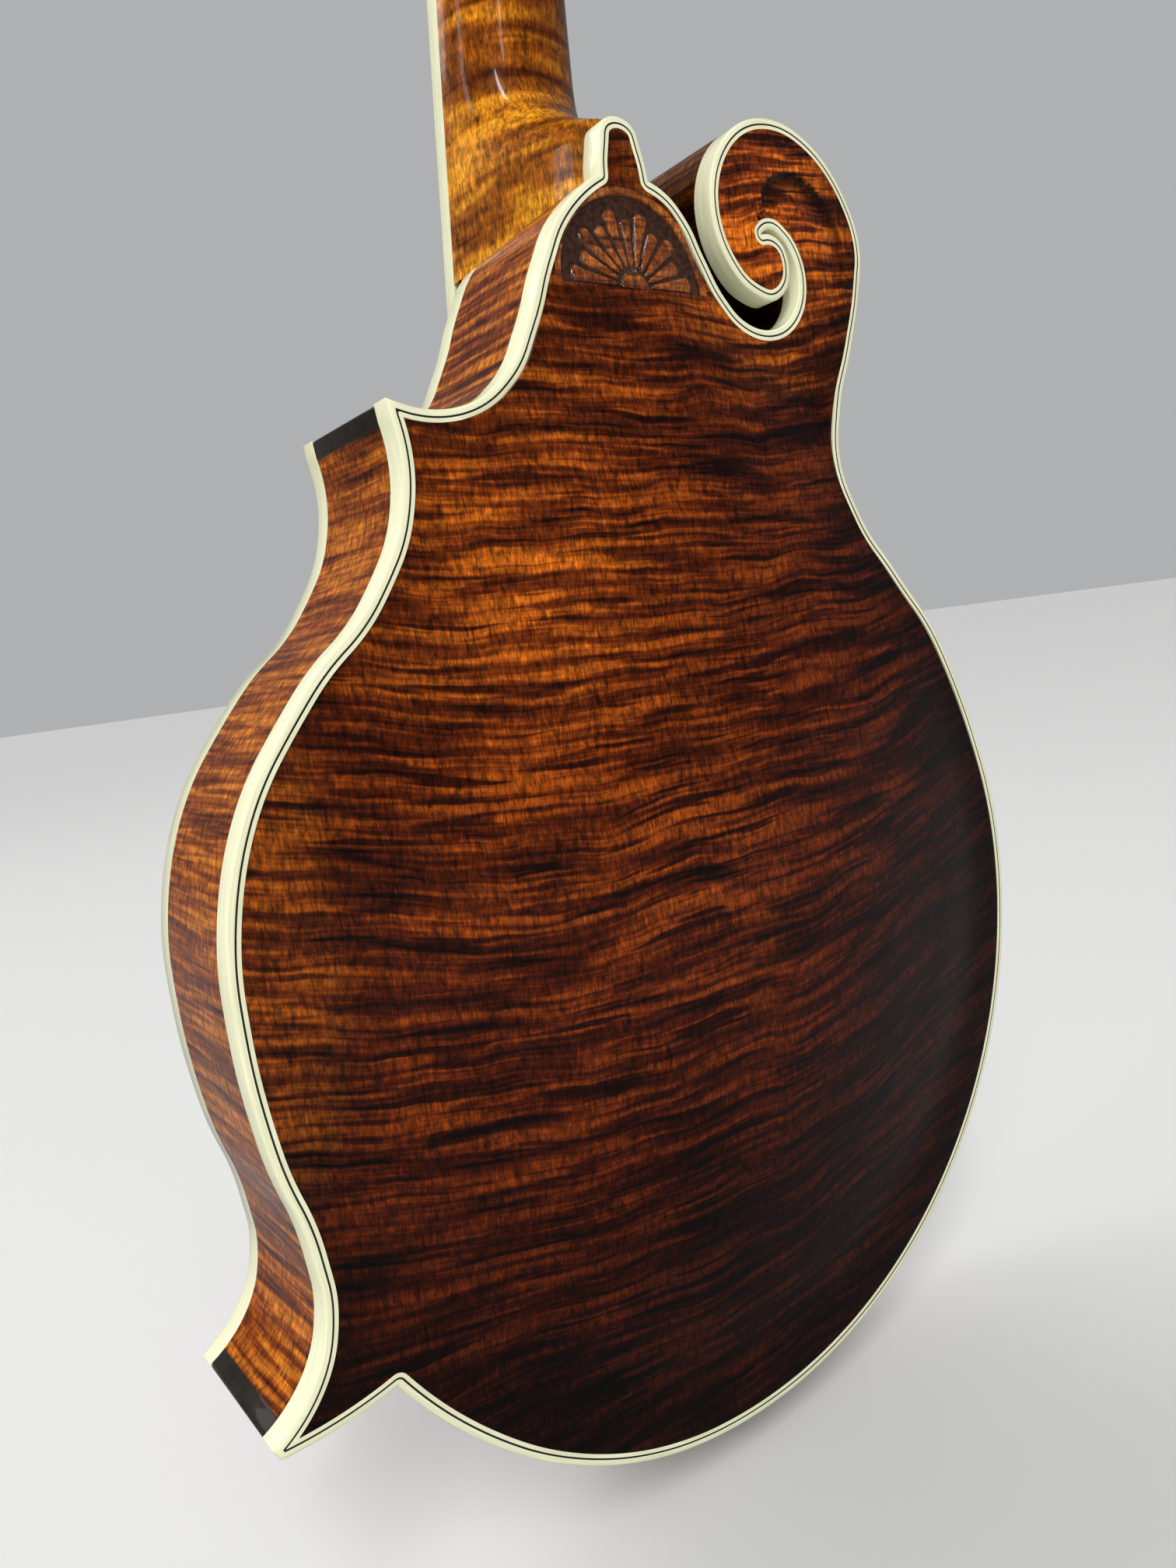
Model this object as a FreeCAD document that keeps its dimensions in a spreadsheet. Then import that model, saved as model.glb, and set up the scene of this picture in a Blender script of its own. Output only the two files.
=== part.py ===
# An f-style mandolin standing upright: neck up, soundboard towards -Y, back towards +Y.
# The scroll is on the -X side and the two body points are on the +X side.
# The origin is where the end pin's axis meets the tail rim, halfway through the rim.
import FreeCAD, Part
import math
import os
import Sketcher
from FreeCAD import Placement, Rotation, Vector

doc = FreeCAD.newDocument("Mandolin")

# Driving sizes in millimetres, angles in degrees, counts as plain numbers.
SIZES = {
    # Body
    "body_width": 254.0,
    "body_length": 344.0,
    "rim_depth": 45.5,
    "plate_edge": 6.0,
    "plate_middle": 4.8,
    "back_arch": 10.5,
    "top_arch": 11.5,
    "recurve_dip": 0.7,
    "rib_thickness": 2.2,
    "binding_width": 1.5,
    "outline_flat": 0.4,
    "point_cap_thickness": 1.8,
    "tail_block_width": 52.0,
    "tail_block_length": 15.0,
    "tone_bar_width": 6.0,
    "tone_bar_height": 9.0,
    "fan_field_radius": 23.8,
    "fan_field_depth": 1.0,
    "scroll_groove_width": 3.6,
    "scroll_groove_depth": 1.6,
    "hole_stem_width": 6.0,
    "hole_upper_radius": 4.2,
    "hole_lower_radius": 5.0,
    # Neck and fingerboard
    "scale_length": 352.4,
    "neck_angle": 6.0,
    "board_rise": 9.5,
    "board_thickness": 5.0,
    "nut_width": 28.6,
    "joint_width": 41.0,
    "board_binding": 1.5,
    "nut_thickness": 4.5,
    "nut_height": 1.7,
    "neck_depth_nut": 15.5,
    "neck_depth_heel": 18.0,
    "heel_cap_width": 14.6,
    "tenon_width": 22.0,
    "tenon_length": 16.0,
    "tenon_fit": 0.05,
    "fret_count": 29,
    "joint_fret": 15,
    "fret_width": 1.4,
    "fret_height": 1.0,
    "board_tail": 2.0,
    "rod_radius": 2.4,
    "rod_depth": 6.0,
    "rod_fit": 0.1,
    "rod_nut_radius": 4.0,
    "rod_nut_length": 9.0,
    # Peghead and tuners
    "head_angle": 15.0,
    "head_length": 186.0,
    "head_thickness": 12.5,
    "overlay_thickness": 1.6,
    "cover_thickness": 1.8,
    "tuner_pitch": 23.0,
    "first_tuner": 37.0,
    "tuner_count": 4,
    "post_offset": 15.0,
    "post_radius": 3.0,
    "post_reach": 15.0,
    "post_fit": 0.05,
    "tuner_plate_width": 17.0,
    "tuner_plate_thickness": 1.2,
    "gear_radius": 5.4,
    "gear_thickness": 4.0,
    "gear_teeth": 14,
    "gear_tooth_depth": 0.9,
    "worm_radius": 2.0,
    "shaft_radius": 1.5,
    "ear_thickness": 1.5,
    "button_length": 15.0,
    "button_radius": 7.0,
    "button_reach": 8.0,
    # Bridge
    "bridge_length": 118.0,
    "bridge_width": 11.0,
    "bridge_base_height": 7.0,
    "bridge_seat_gap": 0.1,
    "saddle_length": 102.0,
    "saddle_height": 7.5,
    "saddle_crest": 2.0,
    "string_action": 4.9,
    "stud_radius": 1.5,
    "stud_spacing": 72.0,
    "stud_fit": 0.05,
    "wheel_radius": 6.0,
    "wheel_thickness": 1.8,
    "part_gap": 0.3,
    # Strings, tailpiece and end pin
    "string_radius_low": 0.5,
    "string_radius_high": 0.15,
    "nut_spread": 22.6,
    "bridge_spread": 39.5,
    "pair_gap_nut": 2.0,
    "pair_gap_bridge": 2.7,
    "string_seat_gap": 0.15,
    "tail_angle": 8.0,
    "tail_plate_thickness": 1.2,
    "tail_plate_width": 34.0,
    "tail_plate_length": 42.0,
    "tail_tab_width": 24.0,
    "tail_tab_height": 33.0,
    "hook_radius": 0.9,
    "hook_height": 2.6,
    "cover_length": 74.0,
    "cover_height": 8.0,
    "cover_wall": 1.0,
    "end_pin_radius": 6.5,
    "end_pin_waist": 3.6,
    "end_pin_reach": 14.0,
    "end_pin_tenon": 12.0,
    "end_pin_fit": 0.05,
    "cut_overrun": 5.0,
}

sheet = doc.addObject("Spreadsheet::Sheet", "Sizes")
for row, (alias, number) in enumerate(SIZES.items(), start=1):
    sheet.set(f"A{row}", alias)
    sheet.set(f"B{row}", str(number))
    sheet.setAlias(f"B{row}", alias)
doc.recompute()


class SheetReader:
    """Reads a size from the sheet by its alias."""

    def __getattr__(self, alias):
        return float(sheet.get(alias))


d = SheetReader()

# Outline stations as (share of body_width, share of body_length), going round from the tail
# up the bass side. Each list is one smooth stretch, and the stretches meet at corners.
BASS_SHARES = [
    (0, 0), (-0.5, 0.369), (-0.441, 0.5436), (-0.407, 0.591), (-0.349, 0.643), (-0.294, 0.693),
    (-0.269, 0.739), (-0.279, 0.785), (-0.306, 0.830), (-0.3295, 0.876), (-0.339, 0.913),
    (-0.315, 0.958), (-0.2755, 0.986), (-0.2165, 1.0), (-0.169, 0.993), (-0.132, 0.971),
    (-0.1105, 0.9245), (-0.123, 0.892), (-0.1555, 0.868), (-0.195, 0.864), (-0.2185, 0.8865),
    (-0.205, 0.910), (-0.181, 0.912),
]
SLOT_SHARES = [
    (-0.181, 0.912), (-0.195, 0.9165), (-0.212, 0.9105), (-0.227, 0.895), (-0.229, 0.873),
    (-0.204, 0.847), (-0.1715, 0.840), (-0.139, 0.846), (-0.114, 0.863), (-0.093, 0.889),
    (-0.077, 0.9115), (-0.053, 0.9295), (-0.031, 0.9365),
]
HEEL_BUTTON_SHARES = [
    (-0.031, 0.9365), (-0.0272, 0.9535), (-0.0157, 0.9733), (0, 0.9767), (0.0157, 0.9733),
    (0.0272, 0.9535), (0.0307, 0.936),
]
SHOULDER_SHARES = [
    (0.0307, 0.936), (0.055, 0.9245), (0.086, 0.902), (0.108, 0.874), (0.1315, 0.8365),
    (0.162, 0.801), (0.199, 0.781), (0.237, 0.7745), (0.2855, 0.781),
]
WAIST_SHARES = [
    (0.2875, 0.769), (0.283, 0.7415), (0.290, 0.7085), (0.3265, 0.6625), (0.3975, 0.612),
    (0.463, 0.5455), (0.493, 0.472), (0.496, 0.416), (0.488, 0.350), (0.468, 0.281),
    (0.466, 0.2465), (0.4795, 0.214), (0.5235, 0.186),
]
POINT_UNDERSIDE_SHARES = [(0.5175, 0.175), (0.4725, 0.1745), (0.416, 0.1795)]
TAIL_TREBLE_SHARES = [
    (0.416, 0.1795), (0.3935, 0.1545), (0.3545, 0.119), (0.2755, 0.0655), (0.1575, 0.019), (0, 0),
]

# Arching: two domes as (x, z, half width, half length, how far below full height), the lengths
# as shares of body_width and body_length.
LOWER_DOME_SHARES = (0.0, 0.385, 0.458, 0.343, 0.0)
UPPER_DOME_SHARES = (0.0, 0.655, 0.270, 0.265, 0.55)
DOME_PEAK_SHARE = 0.02
RECURVE_PLACE_SHARE = 0.94
RECURVE_WIDTH_SHARE = 0.09
HOLLOW_DEPTH_SHARES = [(0.97, 0.0), (0.80, 0.38), (0.60, 0.78), (0.32, 1.0)]
DOME_RING_SHARES = (1.0, 0.93, 0.82, 0.68, 0.52, 0.36, 0.18)
DOME_SIDES = 36
HOLLOW_SIDES = 24

# The half-round carved field below the heel button, and the middle of the scroll's eye.
FAN_FIELD_SHARES = (0.0016, 0.8605)
SCROLL_EYE_SHARES = (-0.181, 0.912)
SCROLL_GROOVE_SHARES = [(0.02, -0.003), (0.0, 0.024), (-0.03, 0.043), (-0.068, 0.034),
                        (-0.083, -0.008), (-0.072, -0.05)]

# A sound hole on the +X side: eyes and the two long edges, shares of body_width and body_length.
HOLE_UPPER_EYE_SHARES = (0.128, 0.600)
HOLE_LOWER_EYE_SHARES = (0.290, 0.345)
HOLE_SPINE_SHARES = [
    (0.128, 0.600), (0.165, 0.596), (0.190, 0.560), (0.212, 0.500), (0.232, 0.440),
    (0.255, 0.375), (0.290, 0.345),
]

# How many flats stand in for a round, so that the whole mesh stays light.
NECK_SIDES = 12
ROUND_SIDES = 12
SMALL_SIDES = 8
CURVE_SAMPLES = 7

# Where the neck meets the body, as a share of body_length.
JOINT_SHARE = 0.904

# Where the ribs and blocks end, as shares of body_width and body_length.
SCROLL_RIB_START_SHARE = 0.822
POINT_BLOCK_SHARES = {"upper": (0.215, 0.735), "lower": (0.455, 0.240)}
RIB_PARTING_SHARES = {"upper": (0.215, 0.735), "lower": (0.440, 0.198)}
HEAD_BLOCK_SHARES = (-0.36, 0.135, 0.818)
TONE_BAR_SHARES = {"bass": (-0.145, -0.115), "treble": (0.125, 0.095)}
TONE_BAR_SPAN_SHARES = (0.215, 0.62)

# The peghead's outline as (share of half the nut_width, share of head_length), from the nut up
# the treble side, over the top and down the bass side.
HEAD_TREBLE_SHARES = [(1.04, 0.0), (1.22, 0.028), (1.80, 0.075)]
HEAD_SIDE_SHARES = [
    (1.80, 0.075), (1.84, 0.150), (1.78, 0.360), (1.80, 0.520), (1.98, 0.625), (2.36, 0.700),
    (2.98, 0.752),
]
HEAD_TOP_SHARES = [
    (2.98, 0.752), (2.36, 0.812), (1.86, 0.880), (1.22, 0.912), (0.62, 0.890), (0.20, 0.830),
]
HEAD_CURL_SHARES = [
    (0.20, 0.830), (0.02, 0.905), (-0.40, 0.965), (-1.10, 1.0), (-2.02, 0.985), (-2.70, 0.925),
    (-2.92, 0.840), (-2.60, 0.760), (-2.14, 0.705), (-1.88, 0.625), (-1.78, 0.500),
    (-1.78, 0.300), (-1.84, 0.150), (-1.80, 0.075),
]
HEAD_BASS_SHARES = [(-1.80, 0.075), (-1.22, 0.028), (-1.04, 0.0)]

back_plane = d.rim_depth / 2
front_plane = -d.rim_depth / 2
inner_back = back_plane - d.plate_edge
inner_front = front_plane + d.plate_edge
fret_ratio = 2 ** (1 / 12)
nut_station = d.scale_length * (1 - fret_ratio ** -d.joint_fret)
joint_station = JOINT_SHARE * d.body_length
board_frame = Placement(
    Vector(0, front_plane - d.board_rise, joint_station),
    Rotation(Vector(1, 0, 0), -d.neck_angle),
)
head_lean = d.overlay_thickness * math.tan(math.radians(d.head_angle)) + d.tenon_fit
head_frame = board_frame * Placement(
    Vector(0, d.board_thickness - d.overlay_thickness, nut_station + d.nut_thickness + head_lean),
    Rotation(Vector(1, 0, 0), -d.head_angle),
)
tail_frame = Placement(
    Vector(0, front_plane - d.tail_plate_thickness, 0), Rotation(Vector(1, 0, 0), d.tail_angle)
)


def add(name, shape, placement=None):
    """Puts a finished shape in the document as one sub-part."""
    node = doc.addObject("Part::Feature", name)
    node.Label = name
    node.Shape = shape
    if placement is not None:
        node.Placement = placement
    return node


def station(shares):
    """A point of the body's plan from its shares."""
    return Vector(shares[0] * d.body_width, 0, shares[1] * d.body_length)


def head_station(shares):
    """A point of the peghead's plan from its shares."""
    return Vector(shares[0] * d.nut_width / 2, 0, shares[1] * d.head_length)


# Smooth chains of tangent arcs


def tangent_at(before, here, after):
    """The direction at a point of the circle through it and its two neighbours."""
    back = here - before
    ahead = after - here
    direction = back * (ahead.Length / back.Length) + ahead * (back.Length / ahead.Length)
    return direction.normalize()


def mirrored_tangent(start, end, direction):
    """The direction at the other end of the arc that meets a chord at this direction."""
    chord = (end - start).normalize()
    return (chord * (2 * chord.dot(direction)) - direction).normalize()


def arc_edge(start, end, direction):
    """The arc from start to end that leaves start along a direction."""
    chord = end - start
    along = direction.dot(chord) / chord.Length
    side = direction - chord * (along / chord.Length)
    if side.Length < 1e-4:
        return Part.LineSegment(start, end).toShape()
    rise = chord.Length / 2 * math.tan(math.atan2(side.Length, along) / 2)
    middle = (start + end) / 2 + side.normalize() * rise
    return Part.Arc(start, middle, end).toShape()


def biarc(start, start_direction, end, end_direction):
    """Two arcs that join two points along given directions."""
    step = end - start
    total = start_direction + end_direction
    twist = 2 * (1 - start_direction.dot(end_direction))
    if twist > 1e-9:
        reach = (math.sqrt(step.dot(total) ** 2 + twist * step.dot(step)) - step.dot(total)) / twist
    else:
        reach = step.dot(step) / (4 * step.dot(end_direction))
    middle = (start + end + (start_direction - end_direction) * reach) / 2
    return [arc_edge(start, middle, start_direction), arc_edge(end, middle, end_direction * -1)]


def chain(points, first=None, last=None):
    """Tangent arcs through the points; an end direction may be given."""
    inner = [tangent_at(*points[i - 1 : i + 2]) for i in range(1, len(points) - 1)]
    if not inner:
        return [Part.LineSegment(points[0], points[1]).toShape()]
    first = first or mirrored_tangent(points[0], points[1], inner[0])
    last = last or mirrored_tangent(points[-2], points[-1], inner[-1])
    directions = [first, *inner, last]
    edges = []
    for i in range(len(points) - 1):
        edges += biarc(points[i], directions[i], points[i + 1], directions[i + 1])
    return edges


def flats(points, limit):
    """The corners of straight runs that keep within a limit of a row of points."""
    chord = points[-1] - points[0]
    gaps = [point.distanceToLine(points[0], chord) for point in points]
    far = gaps.index(max(gaps))
    if gaps[far] <= limit:
        return [points[0], points[-1]]
    return flats(points[: far + 1], limit)[:-1] + flats(points[far:], limit)


def face_of(edges):
    """A flat face inside a closed run of edges."""
    return Part.Face(Part.Wire(Part.__sortEdges__(edges)))


def in_flats(face, limit):
    """The same face with straight runs in place of its arcs."""
    points = []
    wire = face.OuterWire
    for edge, corner in zip(wire.OrderedEdges, wire.OrderedVertexes):
        run = edge.discretize(CURVE_SAMPLES)
        if run[-1].isEqual(corner.Point, limit / CURVE_SAMPLES):
            run.reverse()
        points += run[:-1]
    points.append(points[0])
    reach = [point.distanceToPoint(points[0]) for point in points]
    far = reach.index(max(reach))
    return polygon(flats(points[: far + 1], limit)[:-1] + flats(points[far:], limit)[:-1])


def polygon(points):
    """A flat face with straight sides."""
    return Part.Face(Part.makePolygon([*points, points[0]]))


def slab(face, low, high):
    """The solid between y = low and y = high over a face drawn at y = 0."""
    base = face.copy()
    base.translate(Vector(0, low, 0))
    return base.extrude(Vector(0, high - low, 0))


def between(rings):
    """The solid whose skin joins rings of points one by one, closed flat at both ends."""
    faces = [polygon(rings[0]), polygon(rings[-1])]
    count = len(rings[0])
    for low, high in zip(rings, rings[1:]):
        for k in range(count):
            a, b, c, e = low[k - 1], low[k], high[k], high[k - 1]
            corners = [[a, b, c, e]] if flat_quad(a, b, c, e) else [[a, b, c], [a, c, e]]
            faces += [polygon(run) for run in corners]
    solid = Part.Solid(Part.Shell(faces))
    if solid.Volume < 0:
        solid.reverse()
    return solid


def flat_quad(a, b, c, e):
    """Whether four corners lie in one plane."""
    normal = (b - a).cross(e - a)
    return abs(normal.normalize().dot(c - a)) < 1e-6


def rod(radius, length, start, direction, sides):
    """A round bar as a prism, its corners at the radius."""
    turn = Rotation(Vector(0, 0, 1), direction)
    steps = [2 * math.pi * k / sides for k in range(sides)]
    corners = [start + turn.multVec(Vector(radius * math.cos(a), radius * math.sin(a), 0))
               for a in steps]
    return polygon(corners).extrude(direction * length)


def bore(radius, length, start, direction, sides):
    """A prism that a round bar of this radius turns in, its flats at the radius."""
    return rod(radius / math.cos(math.pi / sides), length, start, direction, sides)


def box(x_low, x_high, y_low, y_high, z_low, z_high):
    """A box between two corners."""
    corner = Vector(x_low, y_low, z_low)
    return Part.makeBox(x_high - x_low, y_high - y_low, z_high - z_low, corner)


def rim_outline():
    """The body's plan without the heel button, as tangent arcs."""
    across = Vector(-1, 0, 0)
    stretches = [BASS_SHARES, SLOT_SHARES, [HEEL_BUTTON_SHARES[0], HEEL_BUTTON_SHARES[-1]],
                 SHOULDER_SHARES, [SHOULDER_SHARES[-1], WAIST_SHARES[0]], WAIST_SHARES,
                 [WAIST_SHARES[-1], POINT_UNDERSIDE_SHARES[0]], POINT_UNDERSIDE_SHARES,
                 TAIL_TREBLE_SHARES]
    edges = []
    for stretch in stretches:
        first = across if stretch is BASS_SHARES else None
        last = across if stretch is TAIL_TREBLE_SHARES else None
        edges += chain([station(s) for s in stretch], first, last)
    return face_of(edges)


def button_outline():
    """The heel button's plan, with a root that runs down into the body."""
    tips = [station(s) for s in HEEL_BUTTON_SHARES]
    root = Vector(0, 0, -d.tenon_length)
    edges = chain(tips) + chain([tips[-1], tips[-1] + root])
    return face_of(edges + chain([tips[-1] + root, tips[0] + root]) + chain([tips[0] + root, tips[0]]))


def plan(distance, with_button=False):
    """The body's plan drawn in by a distance, in flats; the back plate's has the heel button."""
    if (distance, with_button) not in plans:
        shapes = []
        for outline in (smooth_rim, smooth_button):
            drawn = outline.makeOffset2D(-distance, 0) if distance else outline
            shapes.append(in_flats(drawn, d.outline_flat))
        plans[distance, False] = shapes[0]
        plans[distance, True] = shapes[0].fuse(shapes[1]).removeSplitter().Faces[0]
    return plans[distance, with_button]


def point_cap_region(upper_corner, lower_corner):
    """The strip of the plan beyond a line just inside a blunt point's end."""
    start = station(upper_corner)
    end = station(lower_corner)
    along = (end - start).normalize()
    outward = Vector(-along.z, 0, along.x)
    inside = outward * -d.point_cap_thickness
    reach = along * d.cut_overrun
    outer = outward * d.cut_overrun
    return polygon([start - reach + inside, end + reach + inside, end + reach + outer,
                    start - reach + outer])


smooth_rim = rim_outline()
smooth_button = button_outline()
plans = {}
cap_regions = {
    "upper": point_cap_region(SHOULDER_SHARES[-1], WAIST_SHARES[0]),
    "lower": point_cap_region(WAIST_SHARES[-1], POINT_UNDERSIDE_SHARES[0]),
}
cap_cutters = [slab(region, inner_front, inner_back) for region in cap_regions.values()]


# Arched surfaces


def dome_share(x, z):
    """0 at the middle of the arching, 1 at its edge, joined smoothly over both bouts."""
    closeness = 0
    for middle_x, middle_z, half_width, half_length, lowness in (LOWER_DOME_SHARES,
                                                                 UPPER_DOME_SHARES):
        across = (x / d.body_width - middle_x) / half_width
        along = (z / d.body_length - middle_z) / half_length
        closeness += max(math.hypot(across, along, lowness), DOME_PEAK_SHARE) ** -3
    return closeness ** (-1 / 3)


def arch_share(place):
    """The height of the arch, as a share of its full rise, at a dome share."""
    return (1 - place**2.4) ** 2 if place < 1 else 0


def outer_height_at(place, rise):
    """How far the outside of a plate stands above its edge at a dome share."""
    dip = d.recurve_dip * math.exp(-(((place - RECURVE_PLACE_SHARE) / RECURVE_WIDTH_SHARE) ** 2))
    return rise * arch_share(place) - dip


def contour(share, sides):
    """Points round the arching where its dome share has this value."""
    middle = station((0, LOWER_DOME_SHARES[1] * (1 + share / 4)))
    points = []
    for k in range(sides):
        turn = 2 * math.pi * k / sides
        way = Vector(math.cos(turn), 0, math.sin(turn))
        low, high = 0, d.body_length
        while high - low > d.outline_flat / 4:
            reach = (low + high) / 2
            place = middle + way * reach
            low, high = (reach, high) if dome_share(place.x, place.z) < share else (low, reach)
        points.append(middle + way * low)
    return points


def raised(points, height):
    """The same points at a height over the plan."""
    return [Vector(point.x, height, point.z) for point in points]


def dome(rise):
    """The arch's skin as rings of flats, down to the plate's gluing face; on the back side."""
    rings = [raised(contour(share, DOME_SIDES), back_plane + outer_height_at(share, rise))
             for share in DOME_RING_SHARES]
    return between([raised(rings[0], inner_back), *rings])


def hollow(rise, plane):
    """The carved hollow under the arch, in rings of flats; on the back side."""
    depth = rise + d.plate_edge - d.plate_middle
    rings = [raised(contour(share, HOLLOW_SIDES), plane + depth * deep)
             for share, deep in HOLLOW_DEPTH_SHARES]
    return between([raised(rings[0], plane - d.rim_depth / 2), *rings])


def as_front(shape):
    """A back-side solid turned over to the front side."""
    return shape.mirror(Vector(0, 0, 0), Vector(0, 1, 0))


def plate_blank(outline, rise):
    """An arched and hollowed plate, on the back side."""
    arch = dome(rise).common(slab(outline, inner_back, back_plane + 2 * rise))
    return slab(outline, inner_back, back_plane).fuse(arch).cut(hollow(rise, inner_back))


def scroll_groove():
    """The channel that runs round the scroll's inner turn."""
    eye = station(SCROLL_EYE_SHARES)
    path = Part.Wire(chain([eye + station(s) for s in SCROLL_GROOVE_SHARES]))
    places = flats(path.discretize(CURVE_SAMPLES ** 2), d.outline_flat)
    left, right = [], []
    for i, here in enumerate(places):
        along = (places[min(i + 1, len(places) - 1)] - places[max(i - 1, 0)]).normalize()
        side = Vector(-along.z, 0, along.x) * (d.scroll_groove_width / 2)
        left.append(here + side)
        right.append(here - side)
    return slab(polygon(left + right[::-1]), back_plane - d.scroll_groove_depth,
                back_plane + d.rim_depth)


def back_plate():
    """Carved maple back with the heel button and the sunk half-round field."""
    plate = plate_blank(plan(d.binding_width, True), d.back_arch)
    middle = station(FAN_FIELD_SHARES)
    low = back_plane - d.fan_field_depth
    field = rod(d.fan_field_radius, d.rim_depth, Vector(middle.x, low, middle.z), Vector(0, 1, 0),
                2 * ROUND_SIDES)
    lower_half = box(-d.body_width, d.body_width, -d.rim_depth, 2 * d.rim_depth, 0, middle.z)
    return add("back_plate", plate.cut([field.cut(lower_half), scroll_groove()]))


def sound_hole():
    """The plan of one sound hole, on the treble side."""
    spine = [station(s) for s in HOLE_SPINE_SHARES]
    half = d.hole_stem_width / 2
    left, right = [], []
    for i, here in enumerate(spine):
        before = spine[max(i - 1, 0)]
        after = spine[min(i + 1, len(spine) - 1)]
        along = (after - before).normalize()
        width = half * (0.55 + 0.45 * math.sin(math.pi * i / (len(spine) - 1)))
        side = Vector(-along.z, 0, along.x) * width
        left.append(here + side)
        right.append(here - side)
    outline = face_of(chain(left) + chain(right) + chain([left[0], right[0]])
                      + chain([left[-1], right[-1]]))
    stem = slab(in_flats(outline, d.outline_flat), front_plane - d.rim_depth, 0)
    eyes = [rod(radius, d.rim_depth, station(shares) + Vector(0, front_plane, 0),
                Vector(0, 1, 0), ROUND_SIDES)
            for shares, radius in ((HOLE_UPPER_EYE_SHARES, d.hole_upper_radius),
                                   (HOLE_LOWER_EYE_SHARES, d.hole_lower_radius))]
    for eye in eyes:
        eye.translate(Vector(0, -d.rim_depth, 0))
    return stem.fuse(eyes)


def top_plate():
    """Carved spruce top with two sound holes."""
    plate = as_front(plate_blank(plan(d.binding_width), d.top_arch))
    hole = sound_hole()
    return add("top_plate", plate.cut([hole, hole.mirror(Vector(0, 0, 0), Vector(1, 0, 0))]))


def back_binding():
    """The cream strip round the back plate and its heel button."""
    strip = plan(0, True).cut(plan(d.binding_width, True))
    binding = slab(strip, back_plane - d.plate_edge, back_plane)
    heel_room = slab(plan(0, True).cut(plan(0)), 0, inner_back)
    return add("back_binding", binding.cut(heel_room))


def top_binding():
    """The cream strip round the top plate."""
    strip = plan(0).cut(plan(d.binding_width))
    return add("top_binding", slab(strip, front_plane, front_plane + d.plate_edge))


def point_cap(name):
    """An ebony cap over a blunt body point, between the two bindings."""
    outline = plan(0).common(cap_regions[name])
    return add(f"{name}_point_cap", slab(outline, inner_front, inner_back))


def rib_band():
    """All the ribs in one, between the two plates."""
    band = slab(plan(0).cut(plan(d.rib_thickness)), inner_front, inner_back)
    return band.cut([dovetail(d.tenon_fit), end_pin_bore(), *cap_cutters])


def end_pin_bore():
    """The bore for the end pin through the tail."""
    return rod(d.end_pin_waist + d.end_pin_fit, d.body_length / 2,
               Vector(0, 0, -d.cut_overrun), Vector(0, 0, 1), ROUND_SIDES)


def ribs():
    """The five bent ribs, parted at the tail, the scroll, the heel and the two points."""
    band = rib_band()
    over = d.cut_overrun
    scroll_start = SCROLL_RIB_START_SHARE * d.body_length
    upper_tip = (station(SHOULDER_SHARES[-1]) + station(WAIST_SHARES[0])) / 2
    lower_tip = (station(WAIST_SHARES[-1]) + station(POINT_UNDERSIDE_SHARES[0])) / 2
    upper_in = station(RIB_PARTING_SHARES["upper"])
    lower_in = station(RIB_PARTING_SHARES["lower"])
    low = -over
    high = d.body_length + over
    far = d.body_width / 2 + 4 * over
    regions = {
        "rib_bass": [Vector(-far, 0, low), Vector(0, 0, low), Vector(0, 0, scroll_start),
                     Vector(-far, 0, scroll_start)],
        "rib_scroll": [Vector(-far, 0, scroll_start), Vector(0, 0, scroll_start),
                       Vector(0, 0, high), Vector(-far, 0, high)],
        "rib_lower_treble": [Vector(0, 0, low), Vector(far, 0, low), Vector(far, 0, lower_tip.z),
                             lower_tip, lower_in, Vector(0, 0, lower_in.z)],
        "rib_waist": [lower_in, lower_tip, Vector(far, 0, lower_tip.z),
                      Vector(far, 0, upper_tip.z), upper_tip, upper_in,
                      Vector(0, 0, upper_in.z), Vector(0, 0, lower_in.z)],
        "rib_shoulder": [Vector(0, 0, upper_in.z), upper_in, upper_tip,
                         Vector(far, 0, upper_tip.z), Vector(far, 0, high), Vector(0, 0, high)],
    }
    for name, corners in regions.items():
        add(name, band.common(slab(polygon(corners), front_plane, back_plane)))


def dovetail(extra):
    """The neck's dovetail tenon, or its mortise with extra clearance, from the top inwards."""
    tip = station(HEEL_BUTTON_SHARES[0]).z
    wide = d.tenon_width / 2 + extra
    narrow = wide * 0.75
    end = tip - d.tenon_length - extra
    top = tip + d.cut_overrun
    outline = polygon([Vector(-narrow, 0, top), Vector(narrow, 0, top), Vector(wide, 0, end),
                       Vector(-wide, 0, end)])
    return slab(outline, front_plane + d.plate_edge - extra, inner_back - d.plate_edge + extra)


def head_block():
    """The block that fills the scroll and holds the neck's tenon."""
    left, right, bottom = HEAD_BLOCK_SHARES
    region = box(left * d.body_width, right * d.body_width, inner_front, inner_back,
                 bottom * d.body_length, d.body_length)
    block = slab(plan(d.rib_thickness), inner_front, inner_back).common(region)
    return block.cut(dovetail(d.tenon_fit))


def tail_block():
    """The block that holds the end pin, bored for it."""
    half = d.tail_block_width / 2
    region = box(-half, half, inner_front, inner_back, 0, d.tail_block_length)
    wood = slab(plan(d.rib_thickness), inner_front, inner_back)
    return wood.common(region).cut(end_pin_bore())


def point_block(name):
    """The small block inside a body point."""
    inner = station(POINT_BLOCK_SHARES[name])
    region = box(inner.x, d.body_width, inner_front, inner_back,
                 inner.z - d.body_length * 0.04, inner.z + d.body_length * 0.04)
    if name == "lower":
        region = box(inner.x, d.body_width, inner_front, inner_back, 0,
                     inner.z + d.body_length * 0.01)
    wood = slab(plan(d.rib_thickness), inner_front, inner_back)
    return wood.common(region).cut(cap_cutters)


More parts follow.
